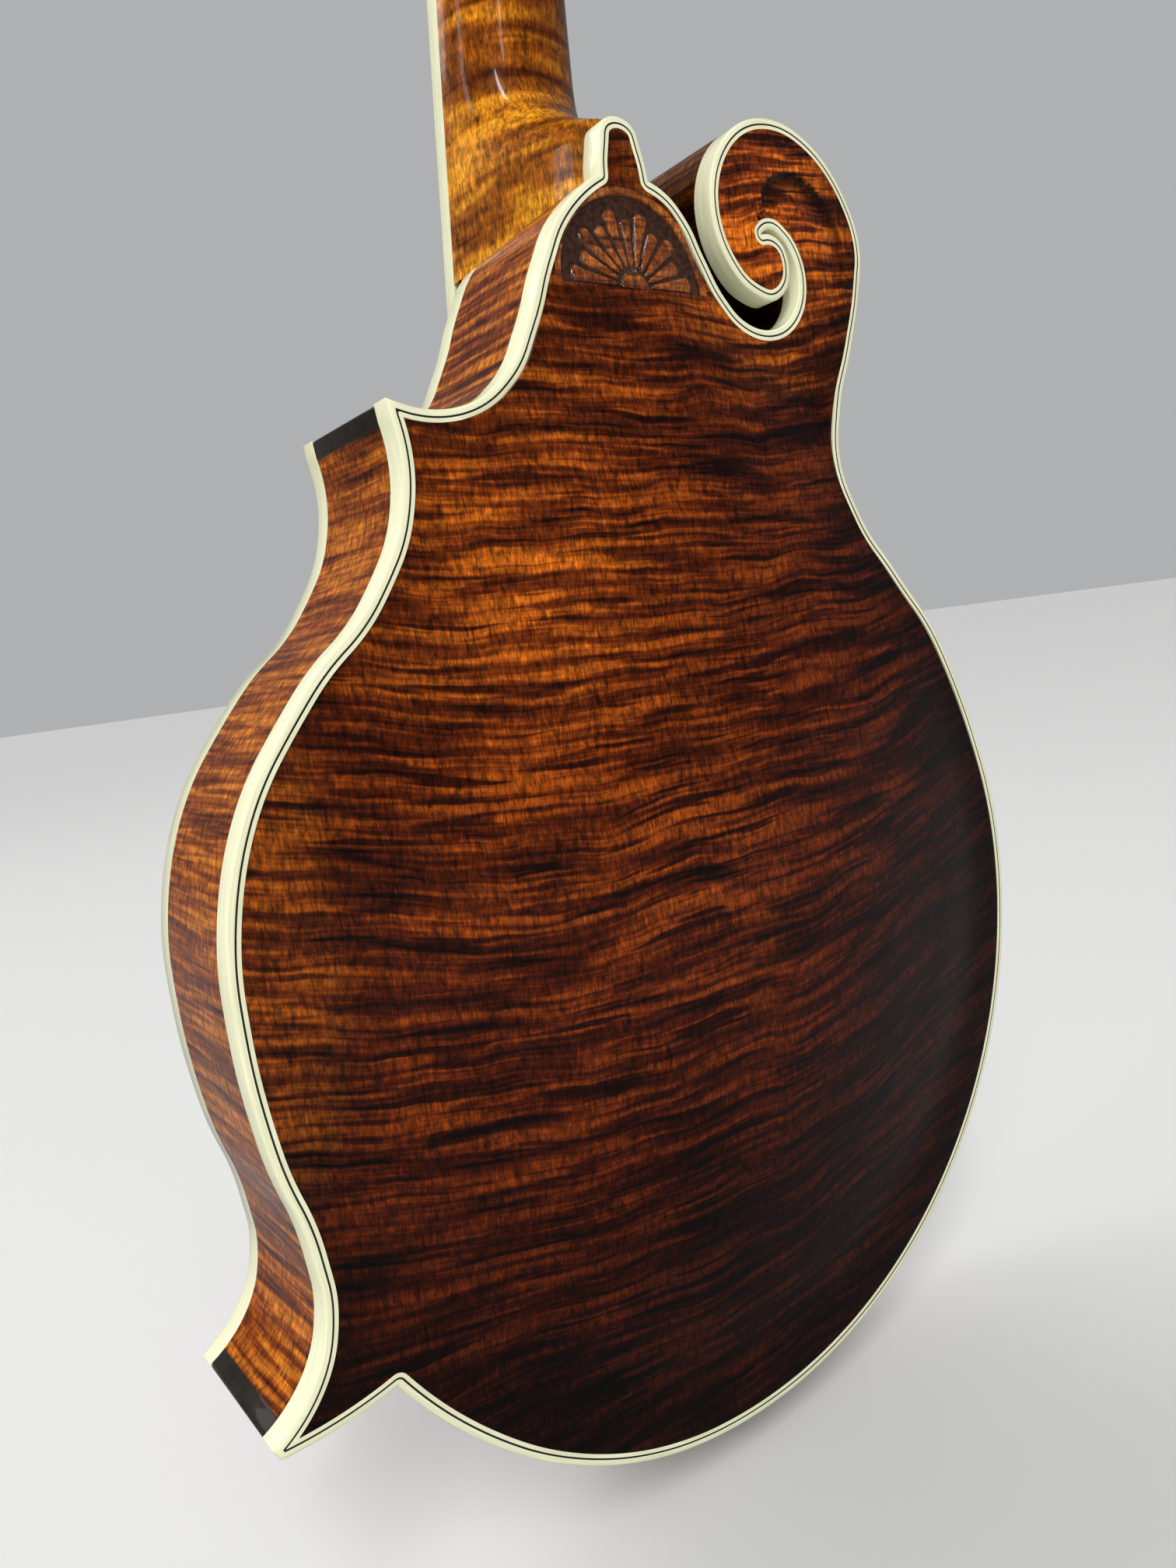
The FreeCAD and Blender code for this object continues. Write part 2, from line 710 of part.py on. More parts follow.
def tone_bar(name):
    """A spruce bar glued under the arched top."""
    low_share, high_share = TONE_BAR_SHARES[name]
    start, end = TONE_BAR_SPAN_SHARES
    low = Vector(low_share * d.body_width, 0, start * d.body_length)
    high = Vector(high_share * d.body_width, 0, end * d.body_length)
    side = Vector(d.tone_bar_width / 2, 0, 0)
    outline = polygon([low - side, low + side, high + side, high - side])
    depth = inner_back + d.top_arch - d.tone_bar_height
    bar = slab(outline, depth, back_plane + d.top_arch)
    return as_front(bar.common(hollow(d.top_arch, inner_back)))


# Neck


def board_half_width(along):
    """Half the fingerboard's width at a distance from the joint towards the nut."""
    return (d.joint_width - (d.joint_width - d.nut_width) * along / nut_station) / 2


def fret_place(number):
    """Where a fret lies along the board, from the joint."""
    return nut_station - d.scale_length * (1 - fret_ratio**-number)


def neck_section(along, depth, fullness):
    """A section of the neck across the board: flat above, rounded behind."""
    half = board_half_width(along)
    points = []
    for i in range(NECK_SIDES + 1):
        turn = math.pi * i / NECK_SIDES
        across = half * math.copysign(abs(math.cos(turn)) ** (2 / fullness), math.cos(turn))
        back = depth * abs(math.sin(turn)) ** (2 / (fullness + 0.2))
        points.append(Vector(across, d.board_thickness + back, along))
    return points


# Heel sections: place along the board as a share of the joint's width, depth as a share of the
# rim's depth, and how full the section is.
HEEL_SHARES = [
    (-0.30, 1.30, 1.45), (0.30, 1.26, 1.45), (0.62, 1.22, 1.45), (0.74, 1.00, 1.50),
    (0.82, 0.78, 1.60), (0.92, 0.58, 1.75), (1.06, 0.455, 1.90), (1.30, 0.40, 2.0),
]


def neck():
    """Maple neck: heel scribed to the shoulders, tenon, shaft and peghead in one piece."""
    sections = [neck_section(place * d.joint_width, depth * d.rim_depth, fullness)
                for place, depth, fullness in HEEL_SHARES]
    shaft_end = neck_section(nut_station - d.neck_depth_nut, d.neck_depth_nut, 2.0)
    shaft = between([*sections, shaft_end, head_root()])
    rim = slab(plan(0), -d.rim_depth, d.rim_depth * 2)
    under_button = box(-d.body_width, d.body_width, inner_back, d.rim_depth * 3, 0,
                       d.body_length * 2)
    rim, under_button, tenon = [from_body(shape) for shape in (rim, under_button, dovetail(0))]
    wood = shaft.cut([rim, under_button]).fuse(tenon.cut(above_board()))
    wood = wood.fuse(head_slab())
    bores = [in_board_frame(Part.makeCylinder(
        d.post_radius + d.post_fit, d.head_thickness * 2,
        tuner_place(number) - Vector(0, d.overlay_thickness, 0), Vector(0, 1, 0)))
        for number in range(int(2 * d.tuner_count))]
    return add("neck", wood.cut([rod_channel(), *bores]), board_frame)


def from_body(shape):
    """A shape drawn in the body's frame, moved to the board's frame."""
    moved = shape.copy()
    moved.Placement = board_frame.inverse() * moved.Placement
    return moved


def above_board():
    """Everything in front of the fingerboard's gluing face, in the board's frame."""
    far = d.body_length
    return box(-far, far, -far, d.board_thickness, -far, far)


def to_board_from_head():
    """The step from the peghead's frame to the board's frame."""
    return board_frame.inverse() * head_frame


def head_root():
    """The rectangle where the volute meets the peghead."""
    up = d.head_thickness
    half = d.nut_width / 2 * HEAD_TREBLE_SHARES[1][0]
    front = d.overlay_thickness
    back = front + d.head_thickness
    rise = d.head_length * HEAD_TREBLE_SHARES[1][1] + up
    points = []
    for i in range(NECK_SIDES + 1):
        turn = math.pi * i / NECK_SIDES
        across = half * math.copysign(abs(math.cos(turn)) ** 0.45, math.cos(turn))
        depth = front + (back - front) * abs(math.sin(turn)) ** 0.45
        points.append(to_board_from_head().multVec(Vector(across, depth, rise)))
    return points


def head_face(margin):
    """The peghead's plan in its own frame, drawn in by a margin."""
    edges = []
    for shares in (HEAD_TREBLE_SHARES, HEAD_SIDE_SHARES, HEAD_TOP_SHARES, HEAD_CURL_SHARES,
                   HEAD_BASS_SHARES):
        edges += chain([head_station(s) for s in shares])
    edges += chain([head_station(HEAD_BASS_SHARES[-1]), head_station(HEAD_TREBLE_SHARES[0])])
    outline = face_of(edges)
    if margin:
        outline = outline.makeOffset2D(-margin, 0)
    return in_flats(outline, d.outline_flat)


def in_board_frame(shape):
    """A shape drawn in the peghead's frame, moved to the board's frame."""
    moved = shape.copy()
    moved.Placement = to_board_from_head() * moved.Placement
    return moved


def head_slab():
    """The peghead's wood, in the board's frame."""
    return in_board_frame(slab(head_face(0), d.overlay_thickness,
                               d.overlay_thickness + d.head_thickness))


def tuner_place(number):
    """Where a tuner's post stands in the peghead's frame; 0 to 3 on the bass side from the nut."""
    side = -1 if number < d.tuner_count else 1
    rank = number % int(d.tuner_count)
    return Vector(side * d.post_offset, 0, d.first_tuner + rank * d.tuner_pitch)


def post_bore(number):
    """The bore that a tuner's post runs through, in the peghead's frame."""
    start = tuner_place(number) - Vector(0, d.overlay_thickness, 0)
    return bore(d.post_radius + d.post_fit, d.head_thickness * 2, start, Vector(0, 1, 0),
                ROUND_SIDES)


def rod_place(along):
    """The truss rod's axis at a distance along the board."""
    return Vector(0, d.board_thickness + d.rod_depth, along)


def rod_channel():
    """The channel for the truss rod and the pocket for its nut, in the board's frame."""
    half = d.rod_radius + d.rod_fit
    wide = d.rod_nut_radius + d.rod_fit
    depth = rod_place(0).y
    end = nut_station + d.nut_thickness * 2.5 + d.rod_nut_length
    slot = box(-half, half, depth - half, depth + half, d.tenon_width, end)
    pocket = box(-wide, wide, -d.cut_overrun, depth + wide, nut_station + d.nut_thickness * 1.5, end)
    return slot.fuse(pocket)


# Sketched bodies: corners are pairs of expressions on the sheet


def value(text):
    """The number that an expression on the sheet gives."""
    return float(sheet.evalExpression(text))


def sketch_on(body, plane, corners, name):
    """A closed sketch whose corners are bound to the sheet."""
    sketch = body.newObject("Sketcher::SketchObject", name)
    origin_plane = [part for part in body.Origin.OriginFeatures if part.Role == plane][0]
    sketch.AttachmentSupport = (origin_plane, [""])
    sketch.MapMode = "FlatFace"
    places = [Vector(value(across), value(up), 0) for across, up in corners]
    count = len(places)
    for i in range(count):
        sketch.addGeometry(Part.LineSegment(places[i], places[(i + 1) % count]), False)
    for i in range(count):
        sketch.addConstraint(Sketcher.Constraint("Coincident", i, 2, (i + 1) % count, 1))
    for i, corner in enumerate(corners):
        for kind, text in zip(("DistanceX", "DistanceY"), corner):
            index = sketch.addConstraint(Sketcher.Constraint(kind, i, 1, value(text)))
            sketch.renameConstraint(index, f"{kind}{i}")
            sketch.setExpression(f"Constraints.{kind}{i}", text)
    return sketch


def round_corners(radius, sides):
    """The corners of a regular outline, as expressions."""
    steps = [360 * k / sides for k in range(sides)]
    return [(f"{radius} * cos({step})", f"{radius} * sin({step})") for step in steps]


def pad_up(body, name, corners, start, length):
    """A pad along the body's Z axis from a height, both given as expressions."""
    sketch = sketch_on(body, "XY_Plane", corners, f"{name}_profile")
    sketch.AttachmentOffset = Placement(Vector(0, 0, value(start)), Rotation())
    sketch.setExpression("AttachmentOffset.Base.z", start)
    pad = body.newObject("PartDesign::Pad", name)
    pad.Profile = sketch
    pad.setExpression("Length", length)
    return pad


def padded(name, plane, corners, length):
    """A body padded both ways from a sketch."""
    body = doc.addObject("PartDesign::Body", name)
    sketch = sketch_on(body, plane, corners, f"{name}_profile")
    pad = body.newObject("PartDesign::Pad", f"{name}_pad")
    pad.Profile = sketch
    pad.setExpression("Length", length)
    pad.Midplane = True
    return body


def square(low_x, high_x, low_y, high_y):
    """The four corners of a rectangle, as expressions."""
    return [(low_x, low_y), (high_x, low_y), (high_x, high_y), (low_x, high_y)]


# Fingerboard, nut and frets, in the board's frame


def board_face(margin):
    """The fingerboard's plan, drawn in by a margin at its long edges."""
    last = fret_place(d.fret_count) - d.board_tail
    early = fret_place(d.fret_count * 0.76)
    half_end = board_half_width(last) - margin
    half_top = board_half_width(nut_station) - margin
    half_early = board_half_width(early) - margin
    left = Vector(-half_early, 0, early)
    corners = [left, Vector(-half_top, 0, nut_station), Vector(half_top, 0, nut_station),
               Vector(half_end, 0, last)]
    edges = [Part.LineSegment(a, b).toShape() for a, b in zip(corners, corners[1:])]
    shift = Vector(half_end * 0.35, 0, last)
    edges.append(Part.LineSegment(corners[-1], shift).toShape())
    edges += chain([shift, Vector(half_end * 0.02, 0, (last * 2 + early) / 3),
                    Vector(-half_end * 0.45, 0, (last + early * 3) / 4), left])
    return in_flats(face_of(edges), d.outline_flat)


def fingerboard():
    """Ebony fingerboard."""
    board = slab(board_face(d.board_binding), 0, d.board_thickness)
    return add("fingerboard", board, board_frame)


def fingerboard_binding():
    """The cream strip round the fingerboard's long edges and end."""
    plan = board_face(0).cut(board_face(d.board_binding))
    return add("fingerboard_binding", slab(plan, 0, d.board_thickness), board_frame)


def frets():
    """Crowned fret wires, trimmed to the board."""
    region = slab(board_face(d.board_binding), -d.board_thickness, 0)
    half = d.fret_width / 2
    section = [(0, -half), (-d.fret_height * 0.7, -half * 0.75), (-d.fret_height, 0),
               (-d.fret_height * 0.7, half * 0.75), (0, half)]
    trimmed = []
    for number in range(1, int(d.fret_count) + 1):
        corners = [Vector(-d.joint_width, depth, fret_place(number) + along)
                   for depth, along in section]
        wire = polygon(corners).extrude(Vector(2 * d.joint_width, 0, 0))
        trimmed.append(wire.common(region))
    return add("frets", Part.makeCompound(trimmed), board_frame)


def nut():
    """The bone nut across the end of the board."""
    body = padded("nut_blank", "YZ_Plane", [
        ("-Sizes.nut_height", "0"),
        ("Sizes.board_thickness", "0"),
        ("Sizes.board_thickness", "Sizes.nut_thickness"),
        ("-Sizes.nut_height * 0.6", "Sizes.nut_thickness"),
    ], "Sizes.nut_width")
    body.Label = "nut"
    body.Placement = board_frame * Placement(Vector(0, 0, nut_station), Rotation())
    return body


# Peghead fittings, in the peghead's frame


def peghead_overlay():
    """The black front veneer, bored for the posts and open over the truss rod's nut."""
    veneer = slab(head_face(d.binding_width), 0, d.overlay_thickness)
    bores = [post_bore(number) for number in range(int(2 * d.tuner_count))]
    return add("peghead_overlay", veneer.cut([rod_pocket(), *bores]), head_frame)


def rod_pocket():
    """The opening over the truss rod's nut, in the peghead's frame."""
    half = d.rod_nut_radius + d.rod_fit
    return box(-half, half, 0, d.overlay_thickness, -d.cut_overrun,
               d.rod_nut_length + d.nut_thickness * 1.5)


def peghead_binding():
    """The cream strip round the veneer."""
    strip = slab(head_face(0).cut(head_face(d.binding_width)), 0, d.overlay_thickness)
    return add("peghead_binding", strip.cut(rod_pocket()), head_frame)


def truss_rod():
    """The steel rod in its channel under the fingerboard."""
    start = d.tenon_width + d.rod_fit
    blank = doc.addObject("Part::Prism", "truss_rod")
    blank.Label = "truss_rod"
    blank.Polygon = SMALL_SIDES
    blank.setExpression("Circumradius", "Sizes.rod_radius")
    blank.Height = nut_station + d.nut_thickness + d.rod_nut_length - start
    blank.Placement = board_frame * Placement(rod_place(start), Rotation())
    return blank


def truss_rod_nut():
    """The six-sided nut on the rod's end."""
    prism = doc.addObject("Part::Prism", "rod_nut_blank")
    prism.Polygon = 6
    prism.setExpression("Circumradius", "Sizes.rod_nut_radius")
    prism.setExpression("Height", "Sizes.rod_nut_length / 2")
    hole = doc.addObject("Part::Prism", "rod_nut_bore")
    hole.Polygon = SMALL_SIDES
    hole.setExpression("Circumradius", "Sizes.rod_radius + Sizes.rod_fit / 2")
    hole.setExpression("Height", "Sizes.rod_nut_length")
    cut = doc.addObject("Part::Cut", "truss_rod_nut")
    cut.Label = "truss_rod_nut"
    cut.Base = prism
    cut.Tool = hole
    start = nut_station + d.nut_thickness * 1.5 + d.part_gap
    cut.Placement = board_frame * Placement(rod_place(start), Rotation())
    return cut


def truss_rod_cover():
    """The bell-shaped cover over the truss rod's nut."""
    body = padded("rod_cover_blank", "XZ_Plane", [
        ("-Sizes.rod_nut_radius * 2", "0"),
        ("Sizes.rod_nut_radius * 2", "0"),
        ("Sizes.rod_nut_radius * 2.1", "Sizes.rod_nut_length * 0.7"),
        ("Sizes.rod_nut_radius * 1.3", "Sizes.rod_nut_length * 1.5"),
        ("0", "Sizes.rod_nut_length * 2.4"),
        ("-Sizes.rod_nut_radius * 1.3", "Sizes.rod_nut_length * 1.5"),
        ("-Sizes.rod_nut_radius * 2.1", "Sizes.rod_nut_length * 0.7"),
    ], "Sizes.cover_thickness")
    body.Label = "truss_rod_cover"
    body.Placement = head_frame * Placement(Vector(0, -d.cover_thickness / 2, 0), Rotation())
    return body


def worm_height():
    """How far above its post a worm's shaft lies."""
    return d.gear_radius + d.worm_radius + d.part_gap


def plate_back():
    """The depth of the tuner plates' outer face in the peghead's frame."""
    return d.overlay_thickness + d.head_thickness + d.tuner_plate_thickness


def worm_depth():
    """The depth of the worm shafts in the peghead's frame."""
    return plate_back() + d.part_gap + d.gear_thickness / 2


def tuner_plate(name, side):
    """The strip that carries four tuners, with two bored ears for each worm shaft."""
    margin = d.tuner_plate_width / 2
    low = d.first_tuner - margin
    high = d.first_tuner + (d.tuner_count - 1) * d.tuner_pitch + worm_height() + margin * 0.8
    middle = side * d.post_offset
    front = d.overlay_thickness + d.head_thickness
    plate = box(middle - margin, middle + margin, front, plate_back(), low, high)
    ears, bores = [], []
    ear_half = d.shaft_radius * 2
    for rank in range(int(d.tuner_count)):
        place = tuner_place(rank)
        level = place.z + worm_height()
        for edge in (-1, 1):
            outer = middle + edge * margin
            inner = outer - edge * d.ear_thickness
            ears.append(box(min(outer, inner), max(outer, inner), plate_back(),
                            worm_depth() + ear_half, level - ear_half, level + ear_half))
        bores.append(bore(d.post_radius + d.part_gap, d.head_thickness,
                          Vector(middle, front - d.part_gap, place.z), Vector(0, 1, 0),
                          SMALL_SIDES))
        bores.append(bore(d.shaft_radius + d.post_fit, 2 * d.tuner_plate_width,
                          Vector(middle - d.tuner_plate_width, worm_depth(), level),
                          Vector(1, 0, 0), SMALL_SIDES))
    return add(name, plate.fuse(ears).cut(bores), head_frame)


def post_master():
    """One tuner post about its own axis, front end at zero, with its gear at the back."""
    back = "(Sizes.overlay_thickness + Sizes.head_thickness + Sizes.tuner_plate_thickness)"
    seat = f"Sizes.post_reach + {back} + Sizes.part_gap"
    body = doc.addObject("PartDesign::Body", "tuner_post_master")
    pad_up(body, "shaft", round_corners("Sizes.post_radius", ROUND_SIDES), "0", seat)
    doc.recompute()
    tips = round_corners("Sizes.gear_radius", 2 * int(d.gear_teeth))
    roots = round_corners("(Sizes.gear_radius - Sizes.gear_tooth_depth)", 2 * int(d.gear_teeth))
    teeth = [tips[k] if k % 2 else roots[k] for k in range(len(tips))]
    pad_up(body, "gear", teeth, seat, "Sizes.gear_thickness")
    doc.recompute()
    return body


def post_turn():
    """Turns a part drawn along +Z to lie along the peghead's depth, front end first."""
    return Rotation(Vector(1, 0, 0), -90)


def tuner_posts():
    """Eight posts, copies of one master, each in its own node."""
    master = post_master()
    nodes = []
    for number in range(int(2 * d.tuner_count)):
        place = tuner_place(number) - Vector(0, d.post_reach, 0)
        nodes.append(add(f"tuner_post_{number + 1}", master.Shape,
                         head_frame * Placement(place, post_turn())))
    return nodes


def button_master():
    """One worm shaft with its worm and button, along its own Z axis; zero is the plate's middle."""
    half = "Sizes.tuner_plate_width / 2"
    reach = f"({half} + Sizes.button_reach)"
    body = doc.addObject("PartDesign::Body", "tuner_button_master")
    pad_up(body, "shaft", round_corners("Sizes.shaft_radius", SMALL_SIDES), f"-{half}",
           f"{half} + {reach} + Sizes.shaft_radius")
    doc.recompute()
    pad_up(body, "worm", round_corners("Sizes.worm_radius", SMALL_SIDES), f"-{half} * 0.55",
           f"{half} * 1.1")
    doc.recompute()
    wide = "Sizes.button_radius"
    knob = sketch_on(body, "XZ_Plane", [
        (f"-{wide} * 0.4", reach), (f"{wide} * 0.4", reach),
        (f"{wide} * 0.85", f"{reach} + Sizes.button_length * 0.25"),
        (wide, f"{reach} + Sizes.button_length * 0.55"),
        (f"{wide} * 0.85", f"{reach} + Sizes.button_length * 0.85"),
        (f"{wide} * 0.4", f"{reach} + Sizes.button_length"),
        (f"-{wide} * 0.4", f"{reach} + Sizes.button_length"),
        (f"-{wide} * 0.85", f"{reach} + Sizes.button_length * 0.85"),
        (f"-{wide}", f"{reach} + Sizes.button_length * 0.55"),
        (f"-{wide} * 0.85", f"{reach} + Sizes.button_length * 0.25"),
    ], "button_outline")
    pad = body.newObject("PartDesign::Pad", "button_pad")
    pad.Profile = knob
    pad.setExpression("Length", "Sizes.button_radius * 1.1")
    pad.Midplane = True
    doc.recompute()
    return body


def tuner_buttons():
    """Eight worm shafts with their buttons, each in its own node."""
    master = button_master()
    nodes = []
    for number in range(int(2 * d.tuner_count)):
        post = tuner_place(number)
        side = math.copysign(1, post.x)
        place = Vector(post.x, worm_depth(), post.z + worm_height())
        nodes.append(add(f"tuner_button_{number + 1}", master.Shape,
                         head_frame * Placement(place, Rotation(Vector(0, 1, 0), 90 * side))))
    return nodes


# Bridge

bridge_station = joint_station - (d.scale_length - nut_station) * math.cos(
    math.radians(d.neck_angle)
)
bridge_board_y = board_frame.multVec(Vector(0, 0, nut_station - d.scale_length)).y
crest_y = bridge_board_y - d.string_action
arch_top_y = front_plane - outer_height_at(dome_share(0, bridge_station), d.top_arch)
base_crest_y = arch_top_y - d.bridge_base_height
saddle_low_y = crest_y + d.saddle_height


def bridge_base():
    """The ebony foot, fitted to the arch, with its two studs' seats."""
    half = d.bridge_length / 2
    flat = d.stud_spacing / 2 + d.wheel_radius
    low = front_plane
    corners = [Vector(-half, low, 0), Vector(-half, arch_top_y - d.bridge_base_height * 0.3, 0),
               Vector(-flat, base_crest_y, 0), Vector(flat, base_crest_y, 0),
               Vector(half, arch_top_y - d.bridge_base_height * 0.3, 0), Vector(half, low, 0)]
    profile = polygon([corner + Vector(0, 0, bridge_station - d.bridge_width / 2)
                       for corner in corners])
    base = profile.extrude(Vector(0, 0, d.bridge_width))
    top = as_front(dome(d.top_arch + d.bridge_seat_gap)).fuse(
        slab(plan(0), front_plane - d.bridge_seat_gap, 0))
    deep = base_crest_y + d.bridge_base_height * 0.7
    bores = [bore(d.stud_radius, deep - crest_y, on_stud(side, deep), Vector(0, -1, 0),
                  SMALL_SIDES) for side in (-1, 1)]
    return add("bridge_base", base.cut(top).cut(bores))


def on_stud(side, back):
    """A place on a stud's axis."""
    return Vector(side * d.stud_spacing / 2, back, bridge_station)


def stud_cylinder(side, radius, back, front):
    """A cylinder on a stud's axis between two depths."""
    return Part.makeCylinder(radius, back - front, on_stud(side, back), Vector(0, -1, 0))


def stud_bore(side, back, front):
    """A bore that turns or slides on a stud, its flats a little off it."""
    return bore(d.stud_radius + d.stud_fit, back - front, on_stud(side, back), Vector(0, -1, 0),
                SMALL_SIDES)


def bridge_studs():
    """The two threaded studs that stand in the base."""
    front = saddle_low_y - d.saddle_height * 0.55
    studs = [stud_cylinder(side, d.stud_radius, base_crest_y + d.bridge_base_height * 0.7, front)
             for side in (-1, 1)]
    return add("bridge_studs", Part.makeCompound(studs))


def bridge_saddle():
    """The top of the bridge, bored for the studs, with a narrow stepped crest."""
    half = d.saddle_length / 2
    wide = d.bridge_width * 0.42
    crest = d.saddle_crest / 2
    corners = [Vector(0, saddle_low_y, -wide), Vector(0, saddle_low_y, wide),
               Vector(0, crest_y + d.saddle_height * 0.35, wide), Vector(0, crest_y, crest),
               Vector(0, crest_y, -crest), Vector(0, crest_y + d.saddle_height * 0.35, -wide)]
    profile = polygon([corner + Vector(-half, 0, bridge_station) for corner in corners])
    saddle = profile.extrude(Vector(d.saddle_length, 0, 0))
    bores = [stud_bore(side, saddle_low_y + d.cut_overrun, saddle_low_y - d.saddle_height * 0.8)
             for side in (-1, 1)]
    return add("bridge_saddle", saddle.cut(bores))


def bridge_wheels():
    """The two thumbwheels that carry the saddle on the studs."""
    names = ("bridge_wheel_bass", "bridge_wheel_treble")
    for name, side in zip(names, (-1, 1)):
        back = saddle_low_y + d.wheel_thickness
        wheel = rod(d.wheel_radius, d.wheel_thickness, on_stud(side, back), Vector(0, -1, 0),
                    2 * ROUND_SIDES)
        add(name, wheel.cut(stud_bore(side, back + d.part_gap, saddle_low_y - d.part_gap)))


# Tailpiece and end pin


def hook_places():
    """Where the eight loop hooks stand on the tailpiece, in its own frame."""
    return [Vector(x * 0.82, 0, d.tail_plate_length * 0.55) for x in string_spread(
        d.tail_plate_width * 0.8, d.pair_gap_bridge)]


def string_spread(spread, pair_gap):
    """The eight strings' places across, four pairs evenly spread."""
    places = []
    for course in range(4):
        middle = spread * (course / 3 - 0.5)
        places += [middle - pair_gap / 2, middle + pair_gap / 2]
    return places


def tailpiece_frame():
    """The folded tailpiece: a tab on the tail rim and a plate with eight hooks over the top."""
    plate = box(-d.tail_plate_width / 2, d.tail_plate_width / 2, -d.tail_plate_thickness, 0,
                -d.tail_plate_thickness, d.tail_plate_length)
    hooks = [rod(d.hook_radius, d.hook_height,
                 place - Vector(0, d.tail_plate_thickness + d.hook_height, 0), Vector(0, 1, 0),
                 SMALL_SIDES) for place in hook_places()]
    plate = plate.fuse(hooks)
    plate.Placement = tail_frame
    low = front_plane - d.tail_plate_thickness
    tab = box(-d.tail_tab_width / 2, d.tail_tab_width / 2, low, low + d.tail_tab_height,
              -d.tail_plate_thickness, 0)
    rim = slab(plan(0), front_plane, back_plane)
    return add("tailpiece_frame", plate.fuse(tab).cut([end_pin_bore(), rim]))


def tailpiece_cover():
    """The sprung cover that slides over the hooks, open below and at both ends."""
    half = d.tail_plate_width / 2 + d.part_gap + d.cover_wall
    low = -d.tail_plate_thickness - d.part_gap - d.cover_wall
    outer = box(-half, half, -d.cover_height - d.tail_plate_thickness, 0, low, d.cover_length)
    inner = box(-half + d.cover_wall, half - d.cover_wall,
                -d.cover_height - d.tail_plate_thickness + d.cover_wall, d.cut_overrun,
                low - d.cut_overrun, d.cover_length + d.cut_overrun)
    crown = rod(half * 1.05, d.cover_height * 4,
                Vector(0, -d.cover_height * 3, d.cover_length - half * 0.9), Vector(0, 1, 0),
                2 * ROUND_SIDES)
    square_part = box(-half, half, -d.cover_height * 3, d.cover_height, low,
                      d.cover_length - half * 0.9)
    shell = outer.cut(inner).common(crown.fuse(square_part))
    return add("tailpiece_cover", shell, tail_frame)


def end_pin():
    """The turned end pin, its tenon in the tail block."""
    waist = d.end_pin_waist
    wide = d.end_pin_radius
    reach = d.end_pin_reach
    seat = d.tail_plate_thickness
    profile = [(waist, d.end_pin_tenon), (waist, -seat), (wide, -seat), (wide, -2 * seat),
               (waist, -reach * 0.45), (wide, -reach * 0.8), (wide * 0.8, -reach)]
    rings = [[Vector(radius * math.cos(2 * math.pi * k / ROUND_SIDES),
                     radius * math.sin(2 * math.pi * k / ROUND_SIDES), level)
              for k in range(ROUND_SIDES)] for radius, level in profile]
    return add("end_pin", between(rings[:2]).fuse(between(rings[2:])))


# Strings


def hexagon(middle, radius):
    """The corners of a string's six-sided section, level."""
    return [middle + Vector(radius * math.cos(math.pi * k / 3), radius * math.sin(math.pi * k / 3),
                            0) for k in range(6)]


def strings():
    """Eight strings from hook to saddle, nut and post."""
    solids = []
    at_bridge = string_spread(d.bridge_spread, d.pair_gap_bridge)
    at_nut = string_spread(d.nut_spread, d.pair_gap_nut)
    order = (0, 1, 2, 3, 3, 2, 1, 0)
    for number, hook in enumerate(hook_places()):
        course = number // 2
        radius = d.string_radius_low + (d.string_radius_high - d.string_radius_low) * course / 3
        gap = radius + d.string_seat_gap
        bass = number < d.tuner_count
        post = tuner_place((0 if bass else int(d.tuner_count)) + order[number])
        level = d.post_reach * 0.45
        inward = -math.copysign(d.post_radius + d.part_gap + radius, post.x)
        end = head_frame.multVec(post + Vector(inward, -level, 0))
        start = tail_frame.multVec(hook + Vector(0, -d.tail_plate_thickness - d.hook_height * 0.6,
                                                 d.hook_radius + d.string_seat_gap))
        crest = Vector(at_bridge[number], crest_y - gap, bridge_station)
        at_top = board_frame.multVec(
            Vector(at_nut[number], -d.nut_height - 2 * gap, nut_station))
        solids.append(between([hexagon(place, radius) for place in (start, crest, at_top, end)]))
    return add("strings", Part.makeCompound(solids))


def build():
    """Makes every sub-part and returns the nodes' names in order."""
    back_plate()
    top_plate()
    back_binding()
    top_binding()
    point_cap("upper")
    point_cap("lower")
    ribs()
    blocks = {"head_block": head_block(), "tail_block": tail_block(),
              "upper_point_block": point_block("upper"), "lower_point_block": point_block("lower")}
    for name, shape in blocks.items():
        add(name, shape)
    add("tone_bars", Part.makeCompound([tone_bar("bass"), tone_bar("treble")]))
    neck()
    fingerboard()
    fingerboard_binding()
    frets()
    nut()
    peghead_overlay()
    peghead_binding()
    truss_rod()
    truss_rod_nut()
    truss_rod_cover()
    tuner_plate("tuner_plate_bass", -1)
    tuner_plate("tuner_plate_treble", 1)
    tuner_posts()
    tuner_buttons()
    bridge_base()
    bridge_studs()
    bridge_saddle()
    bridge_wheels()
    tailpiece_frame()
    tailpiece_cover()
    end_pin()
    strings()


PLATE_NODES = ["back_plate", "top_plate", "back_binding", "top_binding", "upper_point_cap",
               "lower_point_cap"]
RIM_NODES = ["rib_bass", "rib_scroll", "rib_lower_treble", "rib_waist", "rib_shoulder",
             "head_block", "tail_block", "upper_point_block", "lower_point_block", "tone_bars"]
NECK_NODES = ["neck", "fingerboard", "fingerboard_binding", "frets", "nut",
              "peghead_overlay", "peghead_binding", "truss_rod", "truss_rod_nut",
              "truss_rod_cover", "tuner_plate_bass", "tuner_plate_treble"]
TUNER_NODES = [f"tuner_{kind}_{number + 1}" for kind in ("post", "button")
               for number in range(int(2 * d.tuner_count))]
FITTING_NODES = ["bridge_base", "bridge_studs", "bridge_saddle", "bridge_wheel_bass",
                 "bridge_wheel_treble", "tailpiece_frame", "tailpiece_cover", "end_pin", "strings"]


